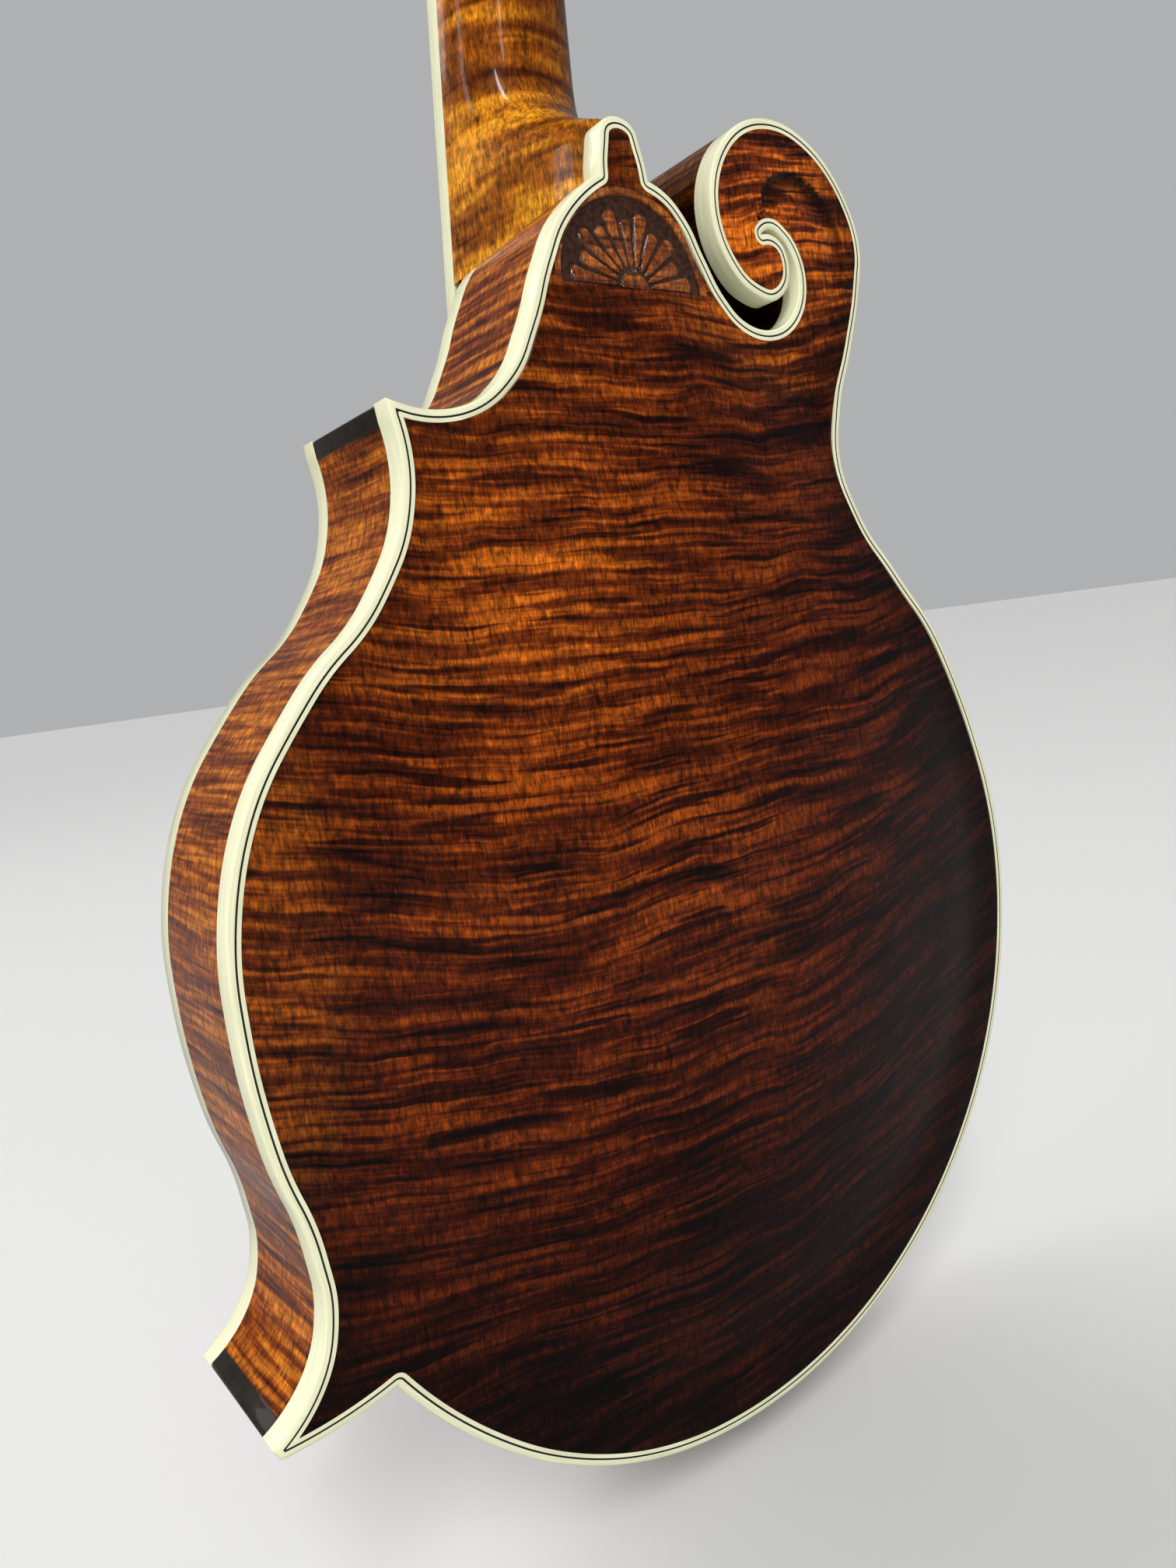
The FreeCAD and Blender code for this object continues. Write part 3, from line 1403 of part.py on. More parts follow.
def check_and_write(names):
    """Stops on any failed object or bad shape, then writes one file for each sub-part."""
    doc.recompute()
    for item in doc.Objects:
        if "Invalid" in item.State or "Error" in item.State:
            raise RuntimeError(f"{item.Label} did not compute: {item.State}")
    os.makedirs("parts", exist_ok=True)
    for name in names:
        node = doc.getObjectsByLabel(name)[0]
        shape = node.Shape
        if shape.isNull() or not shape.isValid() or not shape.Solids:
            raise RuntimeError(f"{name} is not a valid solid")
        shape.exportStep(os.path.join("parts", f"{name}.step"))
    print(len(names), "parts written")


build()
check_and_write(PLATE_NODES + RIM_NODES + NECK_NODES + TUNER_NODES + FITTING_NODES)
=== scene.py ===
# Looks of the mandolin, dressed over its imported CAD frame. Lengths are in mm until a piece is finished.
import math

import bpy
import numpy as np
from mathutils import Matrix, Vector
from mathutils.geometry import delaunay_2d_cdt


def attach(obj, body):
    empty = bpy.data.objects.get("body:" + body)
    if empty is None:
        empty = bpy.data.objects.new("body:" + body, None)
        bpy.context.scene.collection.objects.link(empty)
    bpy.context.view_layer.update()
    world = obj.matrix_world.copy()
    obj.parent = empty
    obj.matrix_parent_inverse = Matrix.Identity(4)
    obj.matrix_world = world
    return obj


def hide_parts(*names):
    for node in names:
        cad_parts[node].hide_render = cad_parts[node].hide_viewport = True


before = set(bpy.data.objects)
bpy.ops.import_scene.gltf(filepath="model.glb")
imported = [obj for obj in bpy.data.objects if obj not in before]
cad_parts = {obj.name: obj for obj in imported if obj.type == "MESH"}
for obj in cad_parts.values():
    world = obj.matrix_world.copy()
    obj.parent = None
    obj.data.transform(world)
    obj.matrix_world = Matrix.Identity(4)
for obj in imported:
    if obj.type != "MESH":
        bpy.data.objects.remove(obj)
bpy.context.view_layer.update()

bodySizes = {
    "width": 254.0, "length": 344.0, "rimDepth": 45.5, "plateEdge": 6.0, "plateMiddle": 4.8,
    "backArch": 10.5, "topArch": 11.5, "recurveDip": 0.7, "recurvePlace": 0.94,
    "recurveWidth": 0.09, "bindingWidth": 1.5, "slotFloor": 0.822,
}
boardSizes = {
    "jointStation": 310.976, "angle": 6.0, "rise": 9.5, "thickness": 5.0, "nutWidth": 28.6,
    "jointWidth": 41.0, "scale": 352.4, "jointFret": 15, "fretCount": 29, "binding": 1.5,
    "nutThickness": 4.5, "nutHeight": 1.7, "tail": 2.0,
}
headSizes = {
    "angle": 15.0, "length": 186.0, "thickness": 12.5, "overlay": 1.6, "firstTuner": 37.0,
    "tunerPitch": 23.0, "postOffset": 15.0, "postReach": 15.0, "plateWidth": 17.0,
    "plateThickness": 1.2, "gearRadius": 5.4, "gearThickness": 4.0, "wormRadius": 2.0,
    "gap": 0.3, "buttonReach": 8.0, "buttonLength": 15.0, "buttonRadius": 7.0,
}
halfRim = bodySizes["rimDepth"] / 2
innerPlane = halfRim - bodySizes["plateEdge"]
nutStation = boardSizes["scale"] * (1 - 2 ** (-boardSizes["jointFret"] / 12))


def turnAbout(axis, degrees):
    return Matrix.Rotation(math.radians(degrees), 4, axis)


def turnX(degrees):
    return turnAbout("X", degrees)


boardFrame = (Matrix.Translation((0, -halfRim - boardSizes["rise"], boardSizes["jointStation"]))
              @ turnX(-boardSizes["angle"]))
headLean = headSizes["overlay"] * math.tan(math.radians(headSizes["angle"])) + 0.05
headFrame = (boardFrame @ Matrix.Translation((0, boardSizes["thickness"] - headSizes["overlay"],
                                              nutStation + boardSizes["nutThickness"] + headLean))
             @ turnX(-headSizes["angle"]))
tailFrame = Matrix.Translation((0, -halfRim - 1.2, 0)) @ turnX(8.0)


# Making and finishing pieces

def startFresh():
    if bpy.context.object and bpy.context.object.mode != "OBJECT":
        bpy.ops.object.mode_set(mode="OBJECT")
    bpy.ops.object.select_all(action="DESELECT")


def activate(piece):
    startFresh()
    piece.select_set(True)
    bpy.context.view_layer.objects.active = piece


def pieceFrom(name, places, faces):
    mesh = bpy.data.meshes.new(name)
    mesh.from_pydata([tuple(p) for p in places], [], faces)
    piece = bpy.data.objects.new(name, mesh)
    bpy.context.scene.collection.objects.link(piece)
    activate(piece)
    return piece


def tidyNormals(piece, merge=0.0005):
    activate(piece)
    bpy.ops.object.mode_set(mode="EDIT")
    bpy.ops.mesh.select_all(action="SELECT")
    if merge:
        bpy.ops.mesh.remove_doubles(threshold=merge)
    bpy.ops.mesh.normals_make_consistent(inside=False)
    bpy.ops.object.mode_set(mode="OBJECT")


def withModifier(piece, kind, **settings):
    activate(piece)
    modifier = piece.modifiers.new(kind.lower(), kind)
    for key, value in settings.items():
        setattr(modifier, key, value)
    bpy.ops.object.modifier_apply(modifier=modifier.name)
    return piece


def rounded(piece, width, segments=3, angle=35):
    return withModifier(piece, "BEVEL", width=width, segments=segments, limit_method="ANGLE",
                        angle_limit=math.radians(angle), harden_normals=False)


def cutBy(piece, cutter, operation="DIFFERENCE"):
    withModifier(piece, "BOOLEAN", object=cutter, operation=operation, solver="EXACT")
    bpy.data.objects.remove(cutter)


def finishPiece(piece, name, body, material, replaced=(), place=None, smooth=40):
    activate(piece)
    piece.name = name
    piece.data.name = name
    if place is not None:
        piece.data.transform(place)
    piece.data.transform(Matrix.Scale(0.001, 4))
    piece.data.materials.clear()
    piece.data.materials.append(material)
    for face in piece.data.polygons:
        face.material_index = 0
    bpy.ops.object.shade_smooth_by_angle(angle=math.radians(smooth))
    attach(piece, body)
    if replaced:
        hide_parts(*replaced)
    return piece


def joinPieces(pieces):
    activate(pieces[0])
    for piece in pieces[1:]:
        piece.select_set(True)
    bpy.ops.object.join()
    return bpy.context.object


def prism(name, loop, low, high, place=None):
    # a flat outline given in x and z, extruded along y
    piece = pieceFrom(name, [(p[0], low, p[1]) for p in loop], [tuple(range(len(loop)))])
    bpy.ops.object.mode_set(mode="EDIT")
    bpy.ops.mesh.select_all(action="SELECT")
    bpy.ops.mesh.extrude_region_move(TRANSFORM_OT_translate={"value": (0, high - low, 0)})
    bpy.ops.object.mode_set(mode="OBJECT")
    tidyNormals(piece)
    if place is not None:
        piece.data.transform(place)
    return piece


def turned(name, profile, sides=48, place=None):
    # a profile of (radius, height) turned round the Z axis
    rows = [Vector((max(radius, 0.0), 0, height)) for radius, height in profile]
    mesh = bpy.data.meshes.new(name)
    mesh.from_pydata(rows, [(i, i + 1) for i in range(len(rows) - 1)], [])
    piece = bpy.data.objects.new(name, mesh)
    bpy.context.scene.collection.objects.link(piece)
    activate(piece)
    bpy.ops.object.mode_set(mode="EDIT")
    bpy.ops.mesh.select_all(action="SELECT")
    bpy.ops.mesh.spin(steps=sides, angle=2 * math.pi, center=(0, 0, 0), axis=(0, 0, 1))
    bpy.ops.object.mode_set(mode="OBJECT")
    tidyNormals(piece)
    if place is not None:
        piece.data.transform(place)
    return piece


def rod(name, radius, low, high, sides, place=None):
    return turned(name, [(0.0, low), (radius, low), (radius, high), (0.0, high)], sides, place)


def block(name, low, high, place=None, bevel=0.0):
    startFresh()
    middle = [(a + b) / 2 for a, b in zip(low, high)]
    bpy.ops.mesh.primitive_cube_add(size=1, location=middle,
                                    scale=[b - a for a, b in zip(low, high)])
    piece = bpy.context.object
    piece.name = name
    bpy.ops.object.transform_apply(location=True, rotation=True, scale=True)
    if bevel:
        rounded(piece, bevel)
    if place is not None:
        piece.data.transform(place)
    return piece


# Smooth outlines: tangent arcs through the stations, as in the CAD part

def tangentAt(before, here, after):
    back, ahead = here - before, after - here
    return (back * (ahead.length / back.length) + ahead * (back.length / ahead.length)).normalized()


def mirroredTangent(start, end, direction):
    chord = (end - start).normalized()
    return (chord * (2 * chord.dot(direction)) - direction).normalized()


def arcRun(start, end, direction, step):
    chord = end - start
    half = math.atan2(direction.x * chord.y - direction.y * chord.x, chord.dot(direction))
    count = max(2, int(chord.length / step) + 1)
    if abs(half) < 1e-5:
        return [start + chord * (k / count) for k in range(count)]
    radius = chord.length / (2 * math.sin(half))
    middle = start + Vector((-direction.y, direction.x)) * radius
    out = start - middle
    run = []
    for k in range(count):
        turn = 2 * half * k / count
        run.append(middle + Vector((out.x * math.cos(turn) - out.y * math.sin(turn),
                                    out.x * math.sin(turn) + out.y * math.cos(turn))))
    return run


def bendThrough(points, first=None, last=None, step=0.8):
    inner = [tangentAt(*points[i - 1:i + 2]) for i in range(1, len(points) - 1)]
    if not inner:
        chord = points[1] - points[0]
        count = max(2, int(chord.length / step) + 1)
        return [points[0] + chord * (k / count) for k in range(count + 1)]
    first = first or mirroredTangent(points[0], points[1], inner[0])
    last = last or mirroredTangent(points[-2], points[-1], inner[-1])
    ways = [first, *inner, last]
    run = []
    for i in range(len(points) - 1):
        start, end, leave, arrive = points[i], points[i + 1], ways[i], ways[i + 1]
        chord, total = end - start, leave + arrive
        twist = 2 * (1 - leave.dot(arrive))
        if twist > 1e-9:
            reach = (math.sqrt(chord.dot(total) ** 2 + twist * chord.dot(chord))
                     - chord.dot(total)) / twist
        else:
            reach = chord.dot(chord) / (4 * chord.dot(arrive))
        middle = (start + end + (leave - arrive) * reach) / 2
        run += arcRun(start, middle, leave, step)
        run += arcRun(middle, end, mirroredTangent(start, middle, leave), step)
    return run + [points[-1]]


bodyStations = {
    "bass": [
        (0, 0), (-0.5, 0.369), (-0.441, 0.5436), (-0.407, 0.591), (-0.349, 0.643),
        (-0.294, 0.693), (-0.269, 0.739), (-0.279, 0.785), (-0.306, 0.830), (-0.3295, 0.876),
        (-0.339, 0.913), (-0.315, 0.958), (-0.2755, 0.986), (-0.2165, 1.0), (-0.169, 0.993),
        (-0.132, 0.971), (-0.1105, 0.9245), (-0.123, 0.892), (-0.1555, 0.868), (-0.195, 0.864),
        (-0.2185, 0.8865), (-0.205, 0.910), (-0.181, 0.912)],
    "slot": [
        (-0.181, 0.912), (-0.195, 0.9165), (-0.212, 0.9105), (-0.227, 0.895), (-0.229, 0.873),
        (-0.204, 0.847), (-0.1715, 0.840), (-0.139, 0.846), (-0.114, 0.863), (-0.093, 0.889),
        (-0.077, 0.9115), (-0.053, 0.9295), (-0.031, 0.9365)],
    "button": [
        (-0.031, 0.9365), (-0.0272, 0.9535), (-0.0157, 0.9733), (0, 0.9767), (0.0157, 0.9733),
        (0.0272, 0.9535), (0.0307, 0.936)],
    "shoulder": [
        (0.0307, 0.936), (0.055, 0.9245), (0.086, 0.902), (0.108, 0.874), (0.1315, 0.8365),
        (0.162, 0.801), (0.199, 0.781), (0.237, 0.7745), (0.2855, 0.781)],
    "upperTip": [(0.287, 0.781), (0.2853, 0.7695)],
    "waist": [
        (0.2853, 0.7695), (0.2815, 0.7425), (0.290, 0.7085), (0.3265, 0.6625), (0.3975, 0.612),
        (0.463, 0.5455), (0.493, 0.472), (0.496, 0.416), (0.488, 0.350), (0.468, 0.281),
        (0.466, 0.2465), (0.4795, 0.2135), (0.5255, 0.1815)],
    "lowerTip": [(0.5255, 0.1815), (0.520, 0.1735)],
    "underside": [(0.520, 0.1735), (0.4725, 0.1735), (0.416, 0.1795)],
    "tail": [
        (0.416, 0.1795), (0.3935, 0.1545), (0.3545, 0.119), (0.2755, 0.0655), (0.1575, 0.019),
        (0, 0)],
}


def station(shares):
    return Vector((shares[0] * bodySizes["width"], shares[1] * bodySizes["length"]))


def turnedVector(way, angle):
    return Vector((way.x * math.cos(angle) - way.y * math.sin(angle),
                   way.x * math.sin(angle) + way.y * math.cos(angle)))


def pathAlong(runs, fanned=()):
    # clockwise runs as (point, way inwards, distance, run's name); outward corners are fanned
    path, distance = [], 0.0
    for index, (name, run) in enumerate(runs):
        ways = [(run[min(i + 1, len(run) - 1)] - run[max(i - 1, 0)]).normalized()
                for i in range(len(run))]
        before = runs[index - 1][1]
        arriving = (before[-1] - before[-2]).normalized()
        turn = math.atan2(arriving.x * ways[0].y - arriving.y * ways[0].x, arriving.dot(ways[0]))
        inwardBefore = Vector((arriving.y, -arriving.x))
        inward = Vector((ways[0].y, -ways[0].x))
        if name in fanned and turn < 0:
            turn += 2 * math.pi
        if turn > 0.12:
            count = max(2, int(turn / 0.2))
            for k in range(count):
                path.append((run[0], turnedVector(inwardBefore, turn * k / count), distance, name))
            path.append((run[0], inward, distance, name))
        else:
            mitre = (inwardBefore + inward) / (1 + inwardBefore.dot(inward))
            path.append((run[0], mitre, distance, name))
        for i in range(1, len(run) - 1):
            distance += (run[i] - run[i - 1]).length
            path.append((run[i], Vector((ways[i].y, -ways[i].x)), distance, name))
        distance += (run[-1] - run[-2]).length
    return path, distance


def rimPath(withButton):
    across = Vector((-1, 0))
    stretches = dict(bodyStations)
    if not withButton:
        stretches["button"] = [stretches["button"][0], stretches["button"][-1]]
    return pathAlong([(name, bendThrough([station(s) for s in shares],
                                         across if name == "bass" else None,
                                         across if name == "tail" else None))
                      for name, shares in stretches.items()], ["slot"])


backPath, backRun = rimPath(True)
frontPath, frontRun = rimPath(False)


def withApex(path):
    # adds the point where both sides of the sharp lower tip would meet
    names = [entry[3] for entry in path]
    if "lowerTip" not in names:
        return path
    first, last = names.index("lowerTip"), names.index("underside")
    before = (path[first][0] - path[first - 1][0]).normalized()
    after = (path[last + 1][0] - path[last][0]).normalized()
    gap = path[last][0] - path[first][0]
    reach = (gap.x * after.y - gap.y * after.x) / (before.x * after.y - before.y * after.x)
    normals = Vector((before.y, -before.x)), Vector((after.y, -after.x))
    mitre = (normals[0] + normals[1]) / (1 + normals[0].dot(normals[1]))
    apex = (path[first][0] + before * reach, mitre, path[first][2], "lowerTip")
    return path[:first + 1] + [apex] + path[first + 1:]


# a point's way inwards is longer than 1 where two runs meet in a corner, up to a limit
cornerSettings = {"least": 1.03, "sharp": 1.12, "most": 4, "room": 0.1}


def cleared(path, deep):
    # leaves out points so near an outward corner that a strip of this width would fold there
    c = cornerSettings
    corners = [entry for entry in path if c["least"] < entry[1].length < c["most"]]
    kept = []
    for entry in path:
        near = any((entry[0] - point).length < deep * math.sqrt(way.length ** 2 - 1) + c["room"]
                   for point, way, run, name in corners)
        if entry[1].length > c["least"] or not near:
            kept.append(entry)
    return kept


def drawnIn(path, distance):
    # the loop at a distance inside the rim, without the points that folds bring nearer
    rim = np.array([(p.x, p.y) for p, way, run, name in path])
    ahead = np.roll(rim, -1, axis=0)
    loop = np.array([(p + way * distance)[:] for p, way, run, name in withApex(path)])
    kept = []
    for place in loop:
        edge = ahead - rim
        share = ((place - rim) * edge).sum(1) / np.maximum((edge ** 2).sum(1), 1e-12)
        near = rim + edge * np.clip(share, 0, 1)[:, None]
        if np.sqrt(((near - place) ** 2).sum(1).min()) > distance - 0.02:
            if not kept or np.hypot(*(place - kept[-1])) > 0.12:
                kept.append(place)
    return np.array(kept)


def sweptBand(name, path, total, section, closed=True):
    # a section of (distance inwards, depth) swept along the rim, unwrapped by the distance run
    count, corners = len(path), len(section)
    places = []
    for point, way, run, stretch in path:
        for inwards, depth in section:
            place = point + way * inwards
            places.append((place.x, depth, place.y))
    around = [0.0]
    for a, b in zip(section, section[1:] + section[:1]):
        around.append(around[-1] + math.hypot(a[0] - b[0], a[1] - b[1]))
    faces, unwrap = [], []
    for i in range(count if closed else count - 1):
        j = (i + 1) % count
        runs = path[i][2], (path[j][2] if j > i else total)
        for k in range(corners):
            m = (k + 1) % corners
            faces.append((i * corners + k, i * corners + m, j * corners + m, j * corners + k))
            unwrap.append([(runs[0], around[k]), (runs[0], around[k + 1]),
                           (runs[1], around[k + 1]), (runs[1], around[k])])
    if not closed:
        last = (count - 1) * corners
        for base, flip in ((0, True), (last, False)):
            ring = [base + k for k in range(corners)]
            faces.append(tuple(ring[::-1] if flip else ring))
            unwrap.append([(path[0 if flip else -1][2], around[k]) for k in range(corners)])
    piece = pieceFrom(name, places, faces)
    layer = piece.data.uv_layers.new(name="unwrapped")
    for face, spots in zip(piece.data.polygons, unwrap):
        for loop, spot in zip(face.loop_indices, spots):
            layer.data[loop].uv = (spot[0] / 1000, spot[1] / 1000)
    tidyNormals(piece, 0)
    return piece


# Arching

# two domes as (middle up the body, half width, half length, how low its crown is), in shares
archSettings = {
    "domes": [(0.385, 0.458, 0.343, 0.0), (0.655, 0.270, 0.265, 0.55)],
    "leastReach": 0.02, "blend": 3, "shoulder": 2.4,
}
gridSettings = {"coarse": 2.4, "fine": 0.75, "offRim": 0.55, "offOpening": 0.4}


def domeShare(x, z):
    closeness = 0.0
    for middleZ, halfWidth, halfLength, lowness in archSettings["domes"]:
        across = x / bodySizes["width"] / halfWidth
        along = (z / bodySizes["length"] - middleZ) / halfLength
        reach = math.sqrt(across ** 2 + along ** 2 + lowness ** 2)
        closeness += max(reach, archSettings["leastReach"]) ** -archSettings["blend"]
    return closeness ** (-1 / archSettings["blend"])


def archHeight(x, z, rise):
    place = domeShare(x, z)
    lift = (1 - place ** archSettings["shoulder"]) ** 2 if place < 1 else 0
    dip = bodySizes["recurveDip"] * math.exp(
        -(((place - bodySizes["recurvePlace"]) / bodySizes["recurveWidth"]) ** 2))
    return rise * lift - dip


def insideLoop(points, loop):
    inside = np.zeros(len(points), bool)
    x, z = points[:, 0], points[:, 1]
    for (x0, z0), (x1, z1) in zip(loop, np.roll(loop, -1, axis=0)):
        if z0 != z1:
            crossing = ((z0 > z) != (z1 > z)) & (x < (x1 - x0) * (z - z0) / (z1 - z0) + x0)
            inside ^= crossing
    return inside


def gapTo(points, loop):
    gap = np.full(len(points), 1e9)
    for start in range(0, len(points), 4000):
        part = points[start:start + 4000]
        gap[start:start + 4000] = np.sqrt(
            ((part[:, None, :] - loop[None, :, :]) ** 2).sum(2).min(1))
    return gap


def carvedPlate(name, loop, heightAt, innerAt, outward, fine=None, opening=None):
    # a solid plate over a loop: outer skin at heightAt, inner skin at innerAt
    low, high = loop.min(0), loop.max(0)
    g = gridSettings
    spots = []
    for spacing in (g["coarse"],) if fine is None else (g["coarse"], g["fine"]):
        x = np.arange(low[0], high[0], spacing)
        z = np.arange(low[1], high[1], spacing * 0.866)
        grid = np.array([(a + (spacing / 2 if row % 2 else 0), b)
                         for row, b in enumerate(z) for a in x])
        grid = grid[insideLoop(grid, loop)]
        grid = grid[gapTo(grid, loop) > spacing * g["offRim"]]
        if fine is not None:
            near = fine(grid)
            grid = grid[near if spacing == g["fine"] else ~near]
        spots.append(grid)
    rims = [loop] if opening is None else [loop, opening]
    spots = np.concatenate(spots)
    if opening is not None:
        spots = spots[~insideLoop(spots, opening)]
        spots = spots[gapTo(spots, opening) > g["offOpening"]]
    points, edges = [], []
    for rim in rims:
        base = len(points)
        points += [Vector(p) for p in rim]
        edges += [(base + i, base + (i + 1) % len(rim)) for i in range(len(rim))]
    points += [Vector(p) for p in spots]
    flat, unused, triangles = delaunay_2d_cdt(points, edges, [], 0, 1e-4)[:3]
    flat = np.array([p[:] for p in flat])
    triangles = np.array(triangles)
    middles = flat[triangles].mean(1)
    keep = insideLoop(middles, loop)
    if opening is not None:
        keep &= ~insideLoop(middles, opening)
    triangles = triangles[keep]
    count = len(flat)
    outer = [(p[0], outward * heightAt(p[0], p[1]), p[1]) for p in flat]
    inner = [(p[0], outward * innerAt(p[0], p[1]), p[1]) for p in flat]
    faces = [tuple(t) for t in triangles] + [tuple(t[::-1] + count) for t in triangles]
    borders = {}
    for a, b, c in triangles:
        for edge in ((a, b), (b, c), (c, a)):
            borders[edge] = True
    faces += [(b, a, a + count, b + count) for a, b in borders if (b, a) not in borders]
    piece = pieceFrom(name, outer + inner, [tuple(int(i) for i in face) for face in faces])
    bpy.ops.object.mode_set(mode="EDIT")
    bpy.ops.mesh.select_all(action="SELECT")
    bpy.ops.mesh.delete_loose()
    bpy.ops.mesh.select_all(action="SELECT")
    bpy.ops.mesh.normals_make_consistent(inside=False)
    bpy.ops.object.mode_set(mode="OBJECT")
    return piece


# Camera, floor and light

viewSettings = {
    "place": (0.18755664, 0.23452655, 0.21138743), "azimuth": 0.62476485, "pitch": -0.12061566,
    "roll": -0.13478255, "focalPixels": 1421.05, "tallPixels": 2016, "sensor": 36.0,
}


def placeCamera():
    v = viewSettings
    a, p, r = v["azimuth"], v["pitch"], v["roll"]
    ahead = Vector((-math.sin(a) * math.cos(p), -math.cos(a) * math.cos(p), math.sin(p)))
    level = Vector((-math.cos(a), math.sin(a), 0))
    up = level.cross(ahead)
    right = level * math.cos(r) + up * math.sin(r)
    top = up * math.cos(r) - level * math.sin(r)
    data = bpy.data.cameras.new("camera")
    data.sensor_fit = "VERTICAL"
    data.sensor_height = v["sensor"]
    data.lens = v["focalPixels"] / v["tallPixels"] * v["sensor"]
    data.clip_start = 0.01
    data.clip_end = 50
    camera = bpy.data.objects.new("camera", data)
    bpy.context.scene.collection.objects.link(camera)
    camera.matrix_world = Matrix(((right.x, top.x, -ahead.x, v["place"][0]),
                                  (right.y, top.y, -ahead.y, v["place"][1]),
                                  (right.z, top.z, -ahead.z, v["place"][2]), (0, 0, 0, 1)))
    bpy.context.scene.camera = camera
    return camera


lightSettings = {
    "high": {"place": (1.0, 1.3, 1.9), "size": (0.16, 1.3), "power": 18.0},
    "behind": {"place": (0.75, 1.9, 0.8), "size": (0.2, 0.9), "power": 4.0},
    "side": {"place": (1.9, -0.2, 0.9), "size": (0.3, 1.4), "power": 5.0},
    "front": {"place": (1.2, -1.4, 1.8), "size": (0.9, 0.9), "power": 8.0},
}
# two wide, even lights that don't show in the varnish
daySettings = {"dayBack": ((0.9, 1.3, 1.5), 2.1, 40), "dayFront": ((0.4, -1.5, 1.4), 1.5, 60)}


def aimed(data, place):
    lamp = bpy.data.objects.new(data.name, data)
    bpy.context.scene.collection.objects.link(lamp)
    lamp.location = place
    lamp.rotation_euler = (Vector((0, 0, 0.25)) - lamp.location).to_track_quat(
        "-Z", "Y").to_euler()
    return lamp


def layStudio():
    startFresh()
    bpy.ops.mesh.primitive_plane_add(size=60, location=(0, 0, -0.0142))
    floor = bpy.context.object
    floor.name = "studioFloor"
    material, tree, shader = newMaterial("palePaper")
    # less bright where varnish and metal mirror it
    mirrored = node(tree, "ShaderNodeLightPath").outputs["Is Glossy Ray"]
    tree.links.new(mixed(tree, mirrored, (0.56, 0.56, 0.55, 1), (0.24, 0.24, 0.235, 1)),
                   shader.inputs["Base Color"])
    shader.inputs["Roughness"].default_value = 0.85
    floor.data.materials.append(material)
    world = bpy.data.worlds.new("studio")
    bpy.context.scene.world = world
    world.use_nodes = True
    tree = world.node_tree
    sky = tree.nodes["Background"]
    sky.inputs["Color"].default_value = (0.86, 0.87, 0.89, 1)
    mirrored = node(tree, "ShaderNodeLightPath").outputs["Is Glossy Ray"]
    tree.links.new(scaled(tree, mirrored, -0.30, 0.50), sky.inputs["Strength"])
    for name, light in lightSettings.items():
        data = bpy.data.lights.new(name, "AREA")
        data.shape = "ELLIPSE"
        data.size, data.size_y = light["size"]
        data.energy = light["power"]
        aimed(data, light["place"])
    for name, (place, strength, spread) in daySettings.items():
        data = bpy.data.lights.new(name, "SUN")
        data.energy = strength
        data.angle = math.radians(spread)
        aimed(data, place).visible_glossy = False


# Materials

def newMaterial(name):
    material = bpy.data.materials.new(name)
    material.use_nodes = True
    return material, material.node_tree, material.node_tree.nodes["Principled BSDF"]


def setInputs(shader, values):
    for name, value in values.items():
        shader.inputs[name].default_value = value


def node(tree, kind, links=None, **settings):
    # a new node with its settings; each link is another node's socket or a plain value
    made = tree.nodes.new(kind)
    for key, value in settings.items():
        setattr(made, key, value)
    for socket, source in (links or {}).items():
        if isinstance(source, bpy.types.NodeSocket):
            tree.links.new(source, made.inputs[socket])
        else:
            made.inputs[socket].default_value = source
    return made


def maths(tree, operation, a, b=0.0, c=0.0, clamp=False):
    made = node(tree, "ShaderNodeMath", {0: a, 1: b, 2: c}, operation=operation, use_clamp=clamp)
    return made.outputs[0]


def plus(tree, a, b):
    return maths(tree, "ADD", a, b)


def minus(tree, a, b):
    return maths(tree, "SUBTRACT", a, b)


def times(tree, a, b, clamp=False):
    return maths(tree, "MULTIPLY", a, b, clamp=clamp)


def scaled(tree, a, factor, offset, clamp=False):
    return maths(tree, "MULTIPLY_ADD", a, factor, offset, clamp)


def mixed(tree, amount, a, b, blend="MIX"):
    return node(tree, "ShaderNodeMix", {0: amount, 6: a, 7: b}, data_type="RGBA",
                blend_type=blend).outputs[2]


def tinted(tree, a, b):
    return mixed(tree, 1.0, a, b, "MULTIPLY")


def ramp(tree, value, stops):
    made = node(tree, "ShaderNodeValToRGB", {0: value})
    band = made.color_ramp
    for place, level in stops[2:]:
        band.elements.new(place)
    for element, (place, level) in zip(band.elements, sorted(stops, key=lambda s: s[0])):
        element.position = place
        element.color = (level, level, level, 1) if isinstance(level, (int, float)) else level
    return made.outputs[0]


def noise(tree, vector, scale, detail=3.0, roughness=0.5, distortion=0.0):
    made = node(tree, "ShaderNodeTexNoise", {
        "Vector": vector, "Scale": scale, "Detail": detail, "Roughness": roughness,
        "Distortion": distortion})
    return made.outputs[0]


def stretched(tree, vector, scale):
    made = node(tree, "ShaderNodeVectorMath", {0: vector, 1: scale}, operation="MULTIPLY")
    return made.outputs[0]


def newGroup(name, inputs, outputs):
    group = bpy.data.node_groups.new(name, "ShaderNodeTree")
    for title, kind, value in inputs:
        socket = group.interface.new_socket(name=title, in_out="INPUT", socket_type=kind)
        if value is not None:
            socket.default_value = value
    for title, kind in outputs:
        group.interface.new_socket(name=title, in_out="OUTPUT", socket_type=kind)
    return group, group.nodes.new("NodeGroupInput").outputs, group.nodes.new("NodeGroupOutput")


